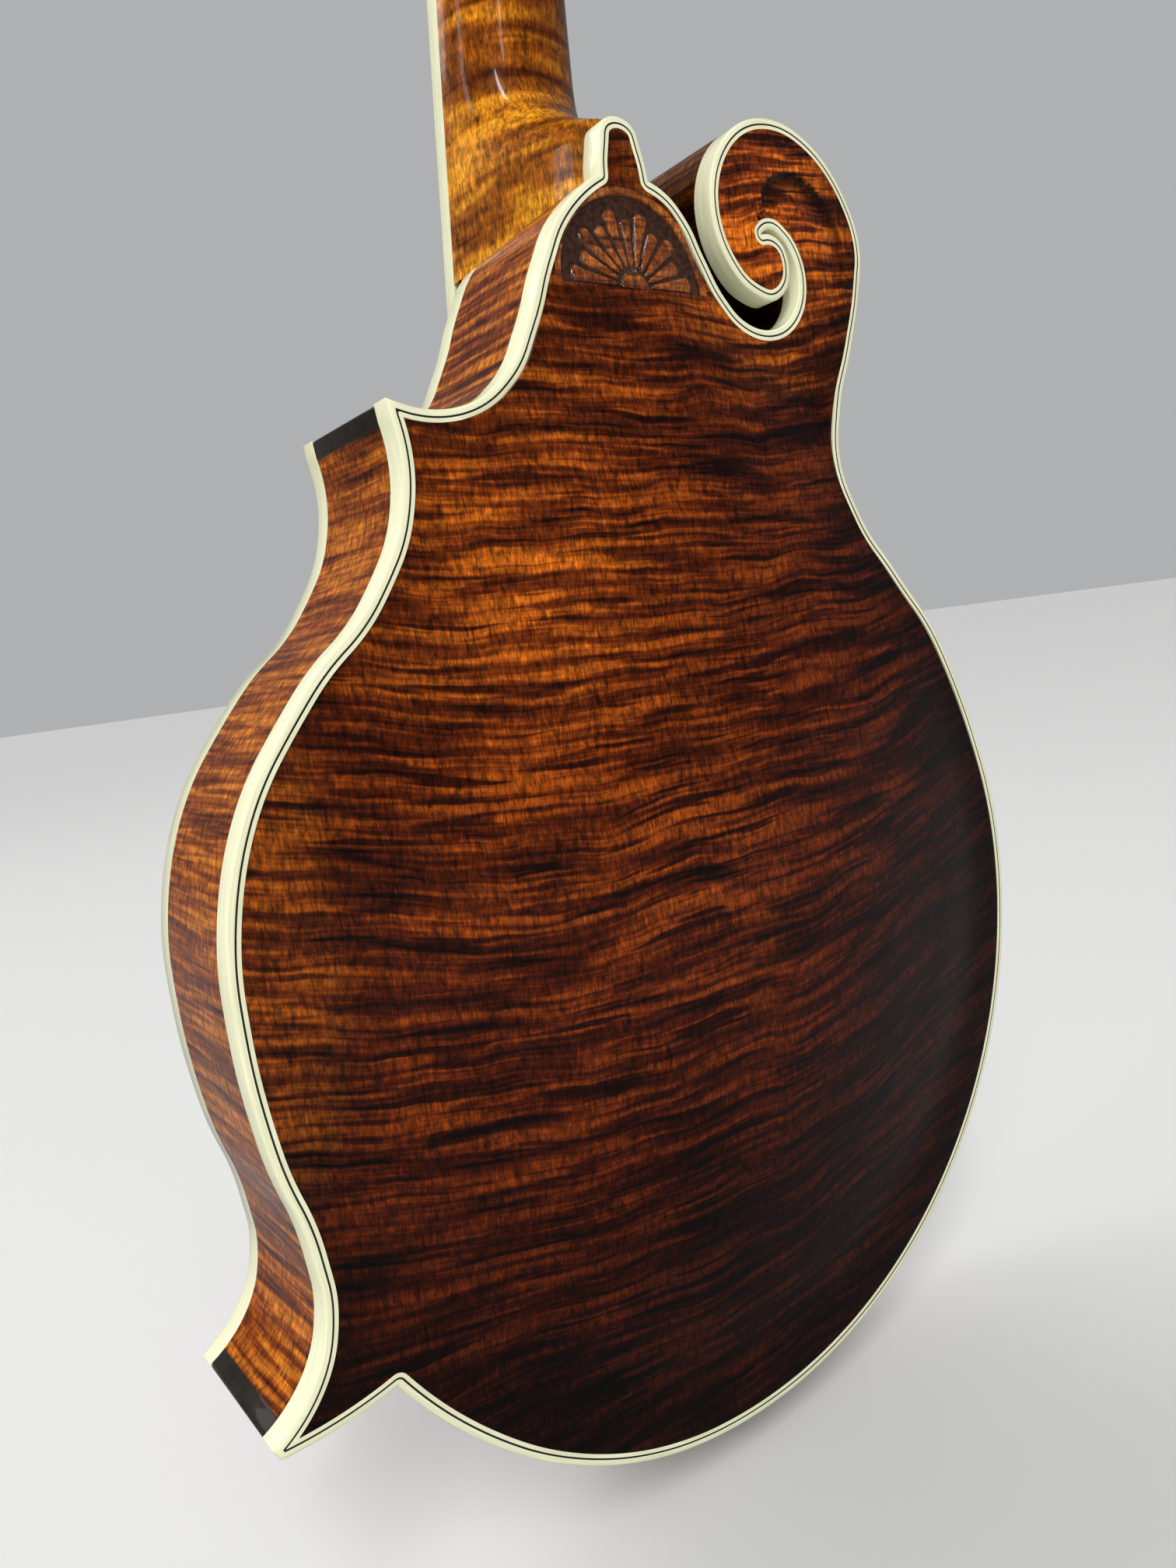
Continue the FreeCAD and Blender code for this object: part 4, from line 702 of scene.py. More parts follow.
def flamedFigure():
    # tiger-stripe figure of maple: X runs along a stripe, Z across the stripes, in metres
    group, given, result = newGroup("flamedFigure", [
        ("Vector", "NodeSocketVector", None), ("Spacing", "NodeSocketFloat", 1.0),
        ("Curve", "NodeSocketFloat", 0.0), ("Wander", "NodeSocketFloat", 1.0),
        ("Streaks", "NodeSocketFloat", 1.0), ("Fine", "NodeSocketFloat", 0.4),
        ("Dark", "NodeSocketColor", (0, 0, 0, 1)),
        ("Middle", "NodeSocketColor", (0.2, 0.1, 0, 1)),
        ("Light", "NodeSocketColor", (1, 0.5, 0, 1))],
        [("Color", "NodeSocketColor"), ("Flame", "NodeSocketFloat"),
         ("Grain", "NodeSocketFloat")])
    parts = node(group, "ShaderNodeSeparateXYZ", {0: given["Vector"]}).outputs
    bow = times(group, times(group, parts[0], parts[0]), given["Curve"])
    wander = times(group, noise(group, given["Vector"], 9.0, 2.0), 0.022)
    ripple = times(group, noise(group, given["Vector"], 42.0, 2.0), 0.0045)
    level = scaled(group, plus(group, wander, ripple), given["Wander"],
                  minus(group, parts[2], bow))
    level = times(group, level, given["Spacing"])
    place = node(group, "ShaderNodeCombineXYZ", {0: parts[0], 1: parts[1], 2: level}).outputs[0]
    broad = noise(group, stretched(group, place, (26, 26, 330)), 1.0, 2.0, 0.5, 0.25)
    fine = noise(group, stretched(group, place, (48, 48, 760)), 1.0, 2.0, 0.5, 0.4)
    dashes = noise(group, stretched(group, place, (30, 30, 420)), 1.0, 1.5, 0.5, 0.3)
    patch = noise(group, stretched(group, place, (11, 11, 22)), 1.0, 2.0)
    flame = scaled(group, minus(group, fine, broad), given["Fine"], broad)
    contrast = scaled(group, patch, 4.5, 1.6)
    flame = scaled(group, minus(group, flame, 0.5), contrast, 0.58, clamp=True)
    streak = times(group, scaled(group, dashes, -9.0, 4.1, clamp=True), given["Streaks"])
    flame = times(group, flame, scaled(group, streak, -0.85, 1.0))
    grain = noise(group, stretched(group, given["Vector"], (2100, 2100, 330)), 1.0, 3.0, 0.6, 0.3)
    # painted sheen over real ray flecks: the silk flecks brighten the figure as its shimmer does
    silkFlecksAndSheen = noise(group, stretched(group, given["Vector"], (620, 620, 300)), 1.0, 3.0, 0.65, 0.5)
    low = mixed(group, times(group, flame, 2.0, clamp=True), given["Dark"], given["Middle"])
    high = mixed(group, scaled(group, flame, 2.0, -1.0, clamp=True), low, given["Light"])
    grainAndSheen = maths(group, "MAXIMUM", scaled(group, grain, 2.8, -0.40), 0.3)
    grainAndSheen = times(group, grainAndSheen, maths(group, "MAXIMUM", scaled(group, silkFlecksAndSheen, 3.4, -0.70), 0.3))
    color = tinted(group, high, grainAndSheen)
    for name, source in (("Color", color), ("Flame", flame), ("Grain", grain)):
        group.links.new(source, result.inputs[name])
    return group


def polishMarks():
    # how a rubbed surface varies: fine wiping marks and faint smudges, as a roughness
    group, given, result = newGroup("polishMarks", [
        ("Vector", "NodeSocketVector", None), ("Least", "NodeSocketFloat", 0.05),
        ("Most", "NodeSocketFloat", 0.2)], [("Roughness", "NodeSocketFloat")])
    smudge = noise(group, given["Vector"], 26.0, 4.0, 0.6, 0.3)
    wipe = noise(group, stretched(group, given["Vector"], (140, 900, 60)), 1.0, 2.0)
    amount = times(group, plus(group, smudge, wipe), 0.5)
    amount = scaled(group, minus(group, amount, 0.38), 3.4, 0.0, clamp=True)
    spread = minus(group, given["Most"], given["Least"])
    group.links.new(scaled(group, amount, spread, given["Least"]), result.inputs["Roughness"])
    return group


figureGroup = flamedFigure()
polishGroup = polishMarks()


def placed(tree, group, links):
    return node(tree, "ShaderNodeGroup", links, node_tree=group).outputs


def objectPlace(tree):
    return node(tree, "ShaderNodeTexCoord").outputs["Object"]


def marked(tree, name):
    return node(tree, "ShaderNodeAttribute", None, attribute_name=name).outputs["Fac"]


def unwrappedPlace(tree, upright=True):
    spot = node(tree, "ShaderNodeUVMap", None, uv_map="unwrapped").outputs[0]
    if not upright:
        return spot
    parts = node(tree, "ShaderNodeSeparateXYZ", {0: spot}).outputs
    return node(tree, "ShaderNodeCombineXYZ", {0: parts[1], 1: 0.0, 2: parts[0]}).outputs[0]


def bump(tree, height, distance, strength=1.0):
    return node(tree, "ShaderNodeBump", {
        "Height": height, "Distance": distance, "Strength": strength}).outputs[0]


def varnish(tree, shader, vector, least=0.22, most=0.4, coat=1.0):
    rough = placed(tree, polishGroup, {"Vector": vector, "Least": least, "Most": most})[0]
    tree.links.new(rough, shader.inputs["Roughness"])
    setInputs(shader, {"Coat Weight": coat, "Coat Roughness": 0.05, "Coat IOR": 1.31,
                       "Specular IOR Level": 0.05})


figures = {
    "backMaple": {"dark": (0.011, 0.0018, 0.0006, 1), "middle": (0.125, 0.0205, 0.0022, 1),
                  "light": (0.40, 0.088, 0.005, 1), "spacing": 1.0, "curve": 1.1,
                  "wander": 0.9, "streaks": 1.0, "fine": 0.38, "coat": 0.45},
    "sideMaple": {"dark": (0.032, 0.0050, 0.0008, 1), "middle": (0.155, 0.030, 0.0018, 1),
                  "light": (0.36, 0.105, 0.005, 1), "spacing": 1.25, "curve": 0.0,
                  "wander": 0.22, "streaks": 0.4, "fine": 0.3, "coat": 0.4},
    "neckMaple": {"dark": (0.060, 0.0125, 0.0010, 1), "middle": (0.22, 0.062, 0.0025, 1),
                  "light": (0.48, 0.19, 0.008, 1), "spacing": 0.52, "curve": 0.0,
                  "wander": 0.16, "streaks": 0.3, "fine": 0.12, "coat": 0.6},
}


def flamedMaterial(name, vectorOf, shadeOf=None):
    look = figures[name]
    material, tree, shader = newMaterial(name)
    vector = vectorOf(tree)
    made = placed(tree, figureGroup, {
        "Vector": vector, "Spacing": look["spacing"], "Curve": look["curve"],
        "Wander": look["wander"], "Streaks": look["streaks"], "Fine": look["fine"],
        "Dark": look["dark"], "Middle": look["middle"], "Light": look["light"]})
    color = made["Color"]
    if shadeOf:
        color = shadeOf(tree, color)
    tree.links.new(color, shader.inputs["Base Color"])
    varnish(tree, shader, vector, coat=look["coat"])
    tree.links.new(bump(tree, made["Grain"], 0.00004, 0.5), shader.inputs["Normal"])
    return material


def spotReach(tree, place, middle, spread):
    # how far a place lies from a spot on the back, as a share of the spot's reach
    parts = node(tree, "ShaderNodeSeparateXYZ", {0: place}).outputs
    across = times(tree, minus(tree, parts[0], middle[0]), 1 / spread[0])
    along = times(tree, minus(tree, parts[2], middle[1]), 1 / spread[1])
    return maths(tree, "SQRT", plus(tree, times(tree, across, across), times(tree, along, along)))


def backBurstAndPaintedLight(tree, color):
    # painted light and shade over the finish's burst: brightest in the upper middle and on the scroll,
    # darkest low on the bass side
    place = objectPlace(tree)
    cloud = scaled(tree, noise(tree, place, 14.0, 3.0), 0.42, -0.21)
    body = plus(tree, spotReach(tree, place, (0.055, 0.248), (0.165, 0.205)), cloud)
    scroll = plus(tree, spotReach(tree, place, (-0.046, 0.326), (0.052, 0.058)), cloud)
    # painted highlight: a bright patch beside the treble rim
    paintedEdgeHighlight = spotReach(tree, place, (0.124, 0.176), (0.030, 0.085))
    light = ramp(tree, body, [
        (0.0, 1.0), (1.0, (0.075, 0.042, 0.05, 1)), (0.16, 0.95),
        (0.32, (0.58, 0.50, 0.48, 1)), (0.55, (0.34, 0.25, 0.25, 1)),
        (0.80, (0.20, 0.12, 0.14, 1))])
    # painted light: the scroll is lifted above the wood's own colour
    light = mixed(tree, 1.0, light, ramp(tree, scroll, [(0.0, 2.6), (1.0, 0.0), (0.5, 1.7)]),
                  "LIGHTEN")
    light = mixed(tree, 1.0, light, ramp(tree, paintedEdgeHighlight, [(0.0, 1.1), (1.0, 0.0), (0.5, 0.75)]),
                  "LIGHTEN")
    rim = ramp(tree, times(tree, marked(tree, "toEdge"), 1 / 0.03), [(0.0, 0.62), (1.0, 1.0)])
    clean = scaled(tree, marked(tree, "stain"), -0.93, 1.0)
    return tinted(tree, tinted(tree, tinted(tree, color, light), rim), clean)


def sideSlotPaintedShade(tree, color):
    # painted shade: the walls darken to near black towards the scroll's slot
    reach = spotReach(tree, objectPlace(tree), (-0.040, 0.303), (0.040, 0.046))
    light = ramp(tree, reach, [(0.0, 0.03), (1.0, 1.0), (0.5, 0.07), (0.8, 0.5)])
    return tinted(tree, color, light)


def neckBurstAndPaintedShade(tree, color):
    # golden at the heel and browner up the shaft, as the finish is, with painted shade round the bass
    # side above the heel
    parts = node(tree, "ShaderNodeSeparateXYZ", {0: objectPlace(tree)}).outputs
    # painted shade on the bass side of the shaft, fading out towards the heel
    bassSidePaintedShade = ramp(tree, scaled(tree, parts[0], 1 / 0.030, 0.35),
                     [(0.0, (0.15, 0.085, 0.06, 1)), (1.0, (1, 1, 1, 1)),
                      (0.35, (0.36, 0.24, 0.17, 1)), (0.62, (0.85, 0.75, 0.62, 1))])
    aboveHeel = scaled(tree, parts[2], 1 / 0.045, -0.336 / 0.045, clamp=True)
    bassSidePaintedShade = mixed(tree, aboveHeel, (1, 1, 1, 1), bassSidePaintedShade)
    upShaft = ramp(tree, scaled(tree, parts[2], 1 / 0.12, -0.335 / 0.12),
                   [(0.0, (1, 1, 1, 1)), (1.0, (0.42, 0.24, 0.14, 1)),
                    (0.45, (0.80, 0.64, 0.48, 1))])
    return tinted(tree, tinted(tree, color, bassSidePaintedShade), upShaft)


def creamMaterial():
    # grained ivoroid: faint streaks that run with the strip
    material, tree, shader = newMaterial("ivoroid")
    spot = unwrappedPlace(tree, False)
    streak = noise(tree, stretched(tree, spot, (60, 2600, 1)), 1.0, 2.0)
    tone = mixed(tree, ramp(tree, streak, [(0.3, 0.0), (0.7, 1.0)]), (0.57, 0.56, 0.36, 1),
                 (0.69, 0.69, 0.49, 1))
    tree.links.new(tone, shader.inputs["Base Color"])
    varnish(tree, shader, objectPlace(tree), 0.25, 0.38)
    setInputs(shader, {"Subsurface Weight": 0.08, "Subsurface Radius": (0.002, 0.0015, 0.001),
                       "Subsurface Scale": 0.3})
    return material


def plainMaterial(name, first, second, scale, least, most, coat=0.0, metal=0.0, grainBump=0.0):
    # two tones that drift into each other, with rubbed marks in the shine
    material, tree, shader = newMaterial(name)
    place = objectPlace(tree)
    drift = noise(tree, stretched(tree, place, scale), 1.0, 4.0, 0.6)
    tree.links.new(mixed(tree, ramp(tree, drift, [(0.35, 0.0), (0.65, 1.0)]), first, second),
                   shader.inputs["Base Color"])
    rough = placed(tree, polishGroup, {"Vector": place, "Least": least, "Most": most})[0]
    tree.links.new(rough, shader.inputs["Roughness"])
    shader.inputs["Metallic"].default_value = metal
    if coat:
        setInputs(shader, {"Coat Weight": coat, "Coat Roughness": 0.06, "Coat IOR": 1.33,
                           "Specular IOR Level": 0.15})
    if grainBump:
        tree.links.new(bump(tree, drift, grainBump, 0.6), shader.inputs["Normal"])
    return material


def spruceMaterial():
    # even vertical grain under an amber burst
    material, tree, shader = newMaterial("spruceTop")
    place = objectPlace(tree)
    parts = node(tree, "ShaderNodeSeparateXYZ", {0: place}).outputs
    sway = times(tree, noise(tree, place, 5.0, 2.0), 0.008)
    across = plus(tree, parts[0], sway)
    line = node(tree, "ShaderNodeCombineXYZ", {0: across, 1: 0.0, 2: times(
        tree, parts[2], 0.02)}).outputs[0]
    grain = noise(tree, line, 850.0, 2.0, 0.4)
    pale = mixed(tree, ramp(tree, grain, [(0.42, 0.0), (0.62, 1.0)]), (0.34, 0.115, 0.018, 1),
                 (0.74, 0.36, 0.085, 1))
    reach = plus(tree, times(tree, marked(tree, "toEdge"), 1 / 0.07),
                  scaled(tree, noise(tree, place, 12.0, 2.0), 0.3, -0.15))
    burst = ramp(tree, reach, [(0.0, (0.045, 0.010, 0.004, 1)), (1.0, (1, 1, 1, 1)),
                               (0.35, (0.30, 0.11, 0.05, 1)), (0.7, (0.85, 0.62, 0.45, 1))])
    tree.links.new(tinted(tree, pale, burst), shader.inputs["Base Color"])
    varnish(tree, shader, place)
    tree.links.new(bump(tree, grain, 0.00005, 0.4), shader.inputs["Normal"])
    return material


looks = {
    "back": flamedMaterial("backMaple", objectPlace, backBurstAndPaintedLight),
    "side": flamedMaterial("sideMaple", unwrappedPlace, sideSlotPaintedShade),
    "neck": flamedMaterial("neckMaple", objectPlace, neckBurstAndPaintedShade),
    "cream": creamMaterial(),
    "spruce": spruceMaterial(),
    "black": plainMaterial("blackFibre", (0.006, 0.006, 0.006, 1), (0.012, 0.011, 0.010, 1),
                           (60, 60, 60), 0.25, 0.4, coat=1.0),
    "ebony": plainMaterial("ebony", (0.008, 0.006, 0.005, 1), (0.026, 0.018, 0.013, 1),
                           (900, 900, 40), 0.22, 0.42, coat=0.25, grainBump=0.00003),
    "cap": plainMaterial("capEbony", (0.008, 0.0055, 0.0035, 1), (0.016, 0.011, 0.007, 1),
                         (300, 300, 60), 0.3, 0.5, coat=0.3),
    "veneer": plainMaterial("blackVeneer", (0.005, 0.005, 0.005, 1), (0.010, 0.009, 0.008, 1),
                            (200, 200, 30), 0.12, 0.22, coat=1.0),
    "innerWood": plainMaterial("innerWood", (0.42, 0.26, 0.13, 1), (0.55, 0.37, 0.20, 1),
                               (300, 300, 20), 0.5, 0.7, grainBump=0.00005),
    "nickel": plainMaterial("nickelPlate", (0.62, 0.59, 0.54, 1), (0.72, 0.69, 0.64, 1),
                            (50, 50, 50), 0.12, 0.3, metal=1.0),
    "fretWire": plainMaterial("fretWire", (0.66, 0.64, 0.59, 1), (0.74, 0.72, 0.67, 1),
                              (90, 90, 90), 0.16, 0.3, metal=1.0),
    "steel": plainMaterial("steelRod", (0.42, 0.42, 0.43, 1), (0.55, 0.55, 0.56, 1),
                           (120, 120, 120), 0.25, 0.4, metal=1.0),
    "brass": plainMaterial("wheelBrass", (0.62, 0.42, 0.14, 1), (0.76, 0.56, 0.24, 1),
                           (160, 160, 160), 0.2, 0.38, metal=1.0),
    "bronze": plainMaterial("stringBronze", (0.66, 0.44, 0.22, 1), (0.78, 0.58, 0.34, 1),
                            (300, 300, 300), 0.2, 0.34, metal=1.0),
    "bone": plainMaterial("bone", (0.70, 0.66, 0.54, 1), (0.80, 0.77, 0.68, 1),
                          (160, 160, 700), 0.3, 0.45),
    "pearl": plainMaterial("pearlButton", (0.72, 0.71, 0.66, 1), (0.88, 0.86, 0.80, 1),
                           (110, 110, 260), 0.12, 0.25, coat=1.0),
    "plastic": plainMaterial("blackPlastic", (0.010, 0.010, 0.011, 1), (0.016, 0.016, 0.017, 1),
                             (80, 80, 80), 0.2, 0.32),
}
layStudio()
placeCamera()
bpy.context.scene.view_settings.view_transform = "Standard"
print("camera, studio and finishes ready")


# Body

stripSettings = {
    "section": [(0.0, innerPlane), (0.0, halfRim - 0.55), (0.12, halfRim - 0.2), (0.42, halfRim),
                (bodySizes["bindingWidth"], halfRim), (bodySizes["bindingWidth"], innerPlane)],
    "lines": {"BlackLine": (1.5, 1.95, 0.02), "CreamLine": (1.95, 2.85, 0.01)},
    "lineDepth": 1.5, "plateStart": 2.85, "tipRounding": 0.9, "tipsFrom": 60, "tipReach": 0.7,
}
sideSettings = {"clear": 0.02, "wall": 2.2, "tipGap": 1.0, "overlap": 0.9}
# how far each cap reaches before and after its tip, along the rim
capSettings = {"reaches": {"upper": (3.0, 4.0), "lower": (4.4, 3.0)}, "bevel": 0.1}


def bevelEdges(piece, chosen, width, segments, clamped=False):
    # bevels the edges whose two ends the function chosen picks
    activate(piece)
    bpy.ops.object.mode_set(mode="EDIT")
    bpy.ops.mesh.select_mode(type="EDGE")
    bpy.ops.mesh.select_all(action="DESELECT")
    bpy.ops.object.mode_set(mode="OBJECT")
    for edge in piece.data.edges:
        edge.select = chosen(*(piece.data.vertices[i].co for i in edge.vertices))
    bpy.ops.object.mode_set(mode="EDIT")
    bpy.ops.mesh.bevel(offset=width, segments=segments, affect="EDGES", clamp_overlap=clamped)
    bpy.ops.object.mode_set(mode="OBJECT")


def roundTips(piece, path, width):
    # rounds the upright outer edges at the body's points
    s, c = stripSettings, cornerSettings
    tips = [point for point, way, run, name in path
            if c["sharp"] < way.length < c["most"] and point.x > s["tipsFrom"]]

    def atTip(*ends):
        return all(any((Vector((end.x, end.z)) - tip).length < s["tipReach"] for tip in tips)
                   for end in ends)

    bevelEdges(piece, atTip, width, 4, True)


def unwrapAlong(piece, path):
    places = np.array([(v.co.x, v.co.z) for v in piece.data.vertices])
    rim = np.array([entry[0][:] for entry in path])
    runs = np.array([entry[2] for entry in path])
    along = np.concatenate([
        runs[((places[i:i + 2000, None, :] - rim[None, :, :]) ** 2).sum(2).argmin(1)]
        for i in range(0, len(places), 2000)])
    layer = piece.data.uv_layers.new(name="unwrapped")
    for corner in piece.data.loops:
        layer.data[corner.index].uv = (along[corner.vertex_index] / 1000,
                                       piece.data.vertices[corner.vertex_index].co.y / 1000)


def finishStrips(path, total, outward, prefix):
    s = stripSettings
    piece = sweptBand(prefix + "Binding", cleared(path, bodySizes["bindingWidth"]), total,
                      [(inwards, outward * depth) for inwards, depth in s["section"]])
    roundTips(piece, path, s["tipRounding"])
    finishPiece(piece, prefix + "Binding", "instrument", looks["cream"],
                [f"{'back' if outward > 0 else 'top'}_binding"], smooth=50)
    for name, (outer, inner, sunk) in s["lines"].items():
        piece = carvedPlate(prefix + name, drawnIn(path, outer), lambda x, z: halfRim - sunk,
                            lambda x, z: halfRim - s["lineDepth"], outward, None,
                            drawnIn(path, inner))
        unwrapAlong(piece, path)
        cream = name == "CreamLine"
        finishPiece(piece, prefix + name, "instrument",
                    looks["cream" if cream else "black"], smooth=50)


finishStrips(backPath, backRun, 1, "back")
finishStrips(frontPath, frontRun, -1, "top")

fanSettings = {
    "x": 0.4, "z": 296.0, "radius": 23.8, "depth": 1.0, "flutes": 11, "border": 0.93,
    "groove": 0.88, "boss": 0.17, "bossGroove": 0.22, "root": 0.30, "tip": 0.80, "shortTip": 0.10,
    "tipRound": 0.06, "rootRound": 0.08, "fluteHalf": 0.40, "fluteHeight": 0.8,
    "borderSunk": 0.15, "grooveSunk": 0.85, "bossSunk": 0.25, "bossFall": 2.2,
    "rings": 72, "sides": 264, "stipple": 0.16, "solidDepth": 4.0,
}
scrollSettings = {
    "ridge": [(-46.0, 314.0), (-46.5, 322.0), (-50.0, 328.0), (-58.0, 331.0), (-66.0, 329.5),
              (-72.0, 325.0), (-76.5, 319.0), (-77.2, 310.0), (-76.0, 303.0), (-73.0, 298.0)],
    "eye": (-46.0, 313.5), "height": 0.3, "dip": 1.7, "reach": 15.0, "corner": (-30, 285),
}
ridgeLine = np.array([p[:] for p in bendThrough([Vector(p) for p in scrollSettings["ridge"]],
                                                step=0.5)])


def besideRidge(x, z):
    # how far the ridge line is, how far along it, and whether the place is on its inner side
    gaps = np.hypot(ridgeLine[:, 0] - x, ridgeLine[:, 1] - z)
    near = int(gaps.argmin())
    middle = Vector(scrollSettings["eye"])
    inner = (Vector((x, z)) - middle).length < (Vector(ridgeLine[near]) - middle).length
    return gaps[near], near / (len(ridgeLine) - 1), inner


def onScroll(x, z):
    return x <= scrollSettings["corner"][0] and z >= scrollSettings["corner"][1]


def scrollCarving(x, z):
    # a crest that follows the ridge line, falling into a channel on its inner side
    s = scrollSettings
    if not onScroll(x, z):
        return 0.0
    gap, share, inner = besideRidge(x, z)
    if gap > s["reach"]:
        return 0.0
    strength = min(1.0, 0.35 + share * 3) * min(1.0, (1 - share) * 2.2)
    crest = s["height"] * math.exp(-(gap / (1.1 if inner else 2.6)) ** 2)
    scoop = s["dip"] * (1 - math.exp(-gap / 0.9)) * math.exp(-(gap / 6.5) ** 2) if inner else 0.0
    return (crest - scoop) * strength


def backHeight(x, z):
    return halfRim + archHeight(x, z, bodySizes["backArch"]) + scrollCarving(x, z)


def scrollStain(x, z):
    # the dark crescent that lies inside the crest
    if not onScroll(x, z):
        return 0.0
    gap, share, inner = besideRidge(x, z)
    wide = 10.0 * (1 - share) ** 1.5 + 1.6
    return math.exp(-(gap / wide) ** 2) * min(1.0, (1 - share) * 2.2) if inner else 0.0


def plateInner(rise):
    def innerAt(x, z):
        lift = halfRim + archHeight(x, z, rise) - bodySizes["plateMiddle"]
        return max(innerPlane, lift)
    return innerAt


def scrollFine(points):
    return (points[:, 0] < -32) & (points[:, 1] > 288)


def halfDisc(radius, sides=60):
    f = fanSettings
    return np.array([(f["x"] + radius * math.cos(math.pi * k / sides),
                      f["z"] + radius * math.sin(math.pi * k / sides))
                     for k in range(sides + 1)])


def edgeMarks(piece, loop):
    places = np.array([(v.co.x, v.co.z) for v in piece.data.vertices])
    marks = piece.data.attributes.new("toEdge", "FLOAT", "POINT")
    marks.data.foreach_set("value", (gapTo(places, loop) / 1000).astype(np.float32))


def makeBack():
    loop = drawnIn(backPath, stripSettings["plateStart"])
    plate = carvedPlate("backPlate", loop, backHeight, plateInner(bodySizes["backArch"]), 1,
                        scrollFine, halfDisc(fanSettings["radius"]))
    edgeMarks(plate, loop)
    marks = plate.data.attributes.new("stain", "FLOAT", "POINT")
    marks.data.foreach_set("value", [scrollStain(v.co.x, v.co.z) for v in plate.data.vertices])
    finishPiece(plate, "backPlate", "instrument", looks["back"], ["back_plate"])


def fanHeight(radius, angle):
    # flutes that open upwards from a half-round boss, in a plain border
    f = fanSettings
    share = radius / f["radius"]
    if share > f["border"]:
        return -f["borderSunk"]
    if share > f["groove"]:
        return -f["grooveSunk"]
    if share < f["boss"]:
        return -f["bossSunk"] - f["bossFall"] * share ** 2
    if share < f["bossGroove"]:
        return -f["depth"]
    turn = angle / math.pi * f["flutes"]
    tip = f["tip"] - f["shortTip"] * (int(turn) % 2)
    body = 1 - ((turn % 1.0 - 0.5) / f["fluteHalf"]) ** 2
    if share > tip - f["tipRound"]:
        body -= ((share - tip + f["tipRound"]) / f["tipRound"]) ** 2
    if share < f["root"]:
        body -= ((f["root"] - share) / f["rootRound"]) ** 2
    return f["fluteHeight"] * math.sqrt(max(body, 0.0)) - f["depth"]


def makeFan():
    # the sunk half-round field below the button, with a fluted fan standing in it
    f = fanSettings
    rings, sides = f["rings"], f["sides"]
    grain = np.random.default_rng(7)
    places, faces = [], []
    for i in range(rings + 1):
        radius = f["radius"] * i / rings
        for k in range(sides + 1):
            angle = math.pi * k / sides
            x = f["x"] + radius * math.cos(angle)
            z = f["z"] + radius * math.sin(angle)
            low = fanHeight(radius, angle)
            if low <= -f["depth"] + 0.001:
                low += f["stipple"] * grain.random()
            if k in (0, sides) or i == rings:
                low = min(low, -f["borderSunk"])
            places.append((x, halfRim + archHeight(x, z, bodySizes["backArch"]) + low, z))
    base = len(places)
    for i in range(rings):
        for k in range(sides):
            a = i * (sides + 1) + k
            faces.append((a, a + 1, a + sides + 2, a + sides + 1))
    floor = halfRim - f["solidDepth"]
    places += [(x, floor, z) for x, y, z in places]
    faces += [tuple(i + base for i in face[::-1]) for face in faces]
    rim = ([rings * (sides + 1) + k for k in range(sides + 1)]
           + [i * (sides + 1) + sides for i in range(rings - 1, -1, -1)]
           + [i * (sides + 1) for i in range(1, rings + 1)])
    faces += [(a, b, b + base, a + base) for a, b in zip(rim, rim[1:]) if a != b]
    piece = pieceFrom("fanField", places, faces)
    tidyNormals(piece, 0.001)
    relief = piece.data.attributes.new("relief", "FLOAT", "POINT")
    relief.data.foreach_set("value", [
        (v.co.y - halfRim - archHeight(v.co.x, v.co.z, bodySizes["backArch"])) / f["depth"] + 1
        for v in piece.data.vertices])
    finishPiece(piece, "fanField", "instrument", looks["carved"], smooth=60)


def carvedMaterial():
    # dark glossy stipple between amber flutes, told apart by depth
    material, tree, shader = newMaterial("carvedField")
    place = objectPlace(tree)
    lift = marked(tree, "relief")
    figure = placed(tree, figureGroup, {
        "Vector": place, "Spacing": 1.0, "Curve": 0.0, "Wander": 0.5, "Streaks": 0.3,
        "Dark": (0.03, 0.006, 0.0015, 1),
        "Middle": (0.15, 0.034, 0.005, 1), "Light": (0.30, 0.085, 0.012, 1)})
    pits = noise(tree, place, 760.0, 2.0)
    ground = mixed(tree, ramp(tree, pits, [(0.3, 0.0), (0.7, 1.0)]), (0.010, 0.0035, 0.0018, 1),
                   (0.050, 0.016, 0.006, 1))
    tree.links.new(mixed(tree, ramp(tree, lift, [(0.15, 0.0), (0.55, 1.0)]), ground,
                         figure["Color"]), shader.inputs["Base Color"])
    varnish(tree, shader, place, 0.12, 0.25)
    shader.inputs["Coat IOR"].default_value = 1.5
    tree.links.new(bump(tree, pits, 0.0006, 0.9), shader.inputs["Normal"])
    return material


looks["carved"] = carvedMaterial()


def makeSides():
    # five bent ribs, parted where the CAD part parts them; they end under the caps
    s = sideSettings
    depth = innerPlane - s["clear"]
    slotLow = bodySizes["slotFloor"] * bodySizes["length"]
    ribs = {
        "sideBass": (["bass"], "rib_bass", lambda p: p.y < slotLow),
        "sideScroll": (["bass", "slot"], "rib_scroll", lambda p: p.y >= slotLow - s["overlap"]),
        "sideShoulder": (["shoulder"], "rib_shoulder", None),
        "sideWaist": (["waist"], "rib_waist", None),
        "sideLowerTreble": (["underside", "tail"], "rib_lower_treble", None),
    }
    tips = [station(bodyStations[tip][k]) for tip, k in (("upperTip", 0), ("lowerTip", 0),
                                                          ("lowerTip", 1))]
    for name, (stretches, replaced, keep) in ribs.items():
        run = [entry for entry in frontPath if entry[3] in stretches
               and (keep is None or keep(entry[0]))]
        end = frontPath.index(run[-1]) + 1
        run.append(frontPath[end % len(frontPath)])
        run = [entry for entry in run if all((entry[0] - tip).length > s["tipGap"] for tip in tips)]
        section = [(s["clear"], -depth), (s["clear"], depth), (s["wall"], depth),
                   (s["wall"], -depth)]
        piece = sweptBand(name, run, frontRun, section, closed=False)
        finishPiece(piece, name, "instrument", looks["side"], [replaced])


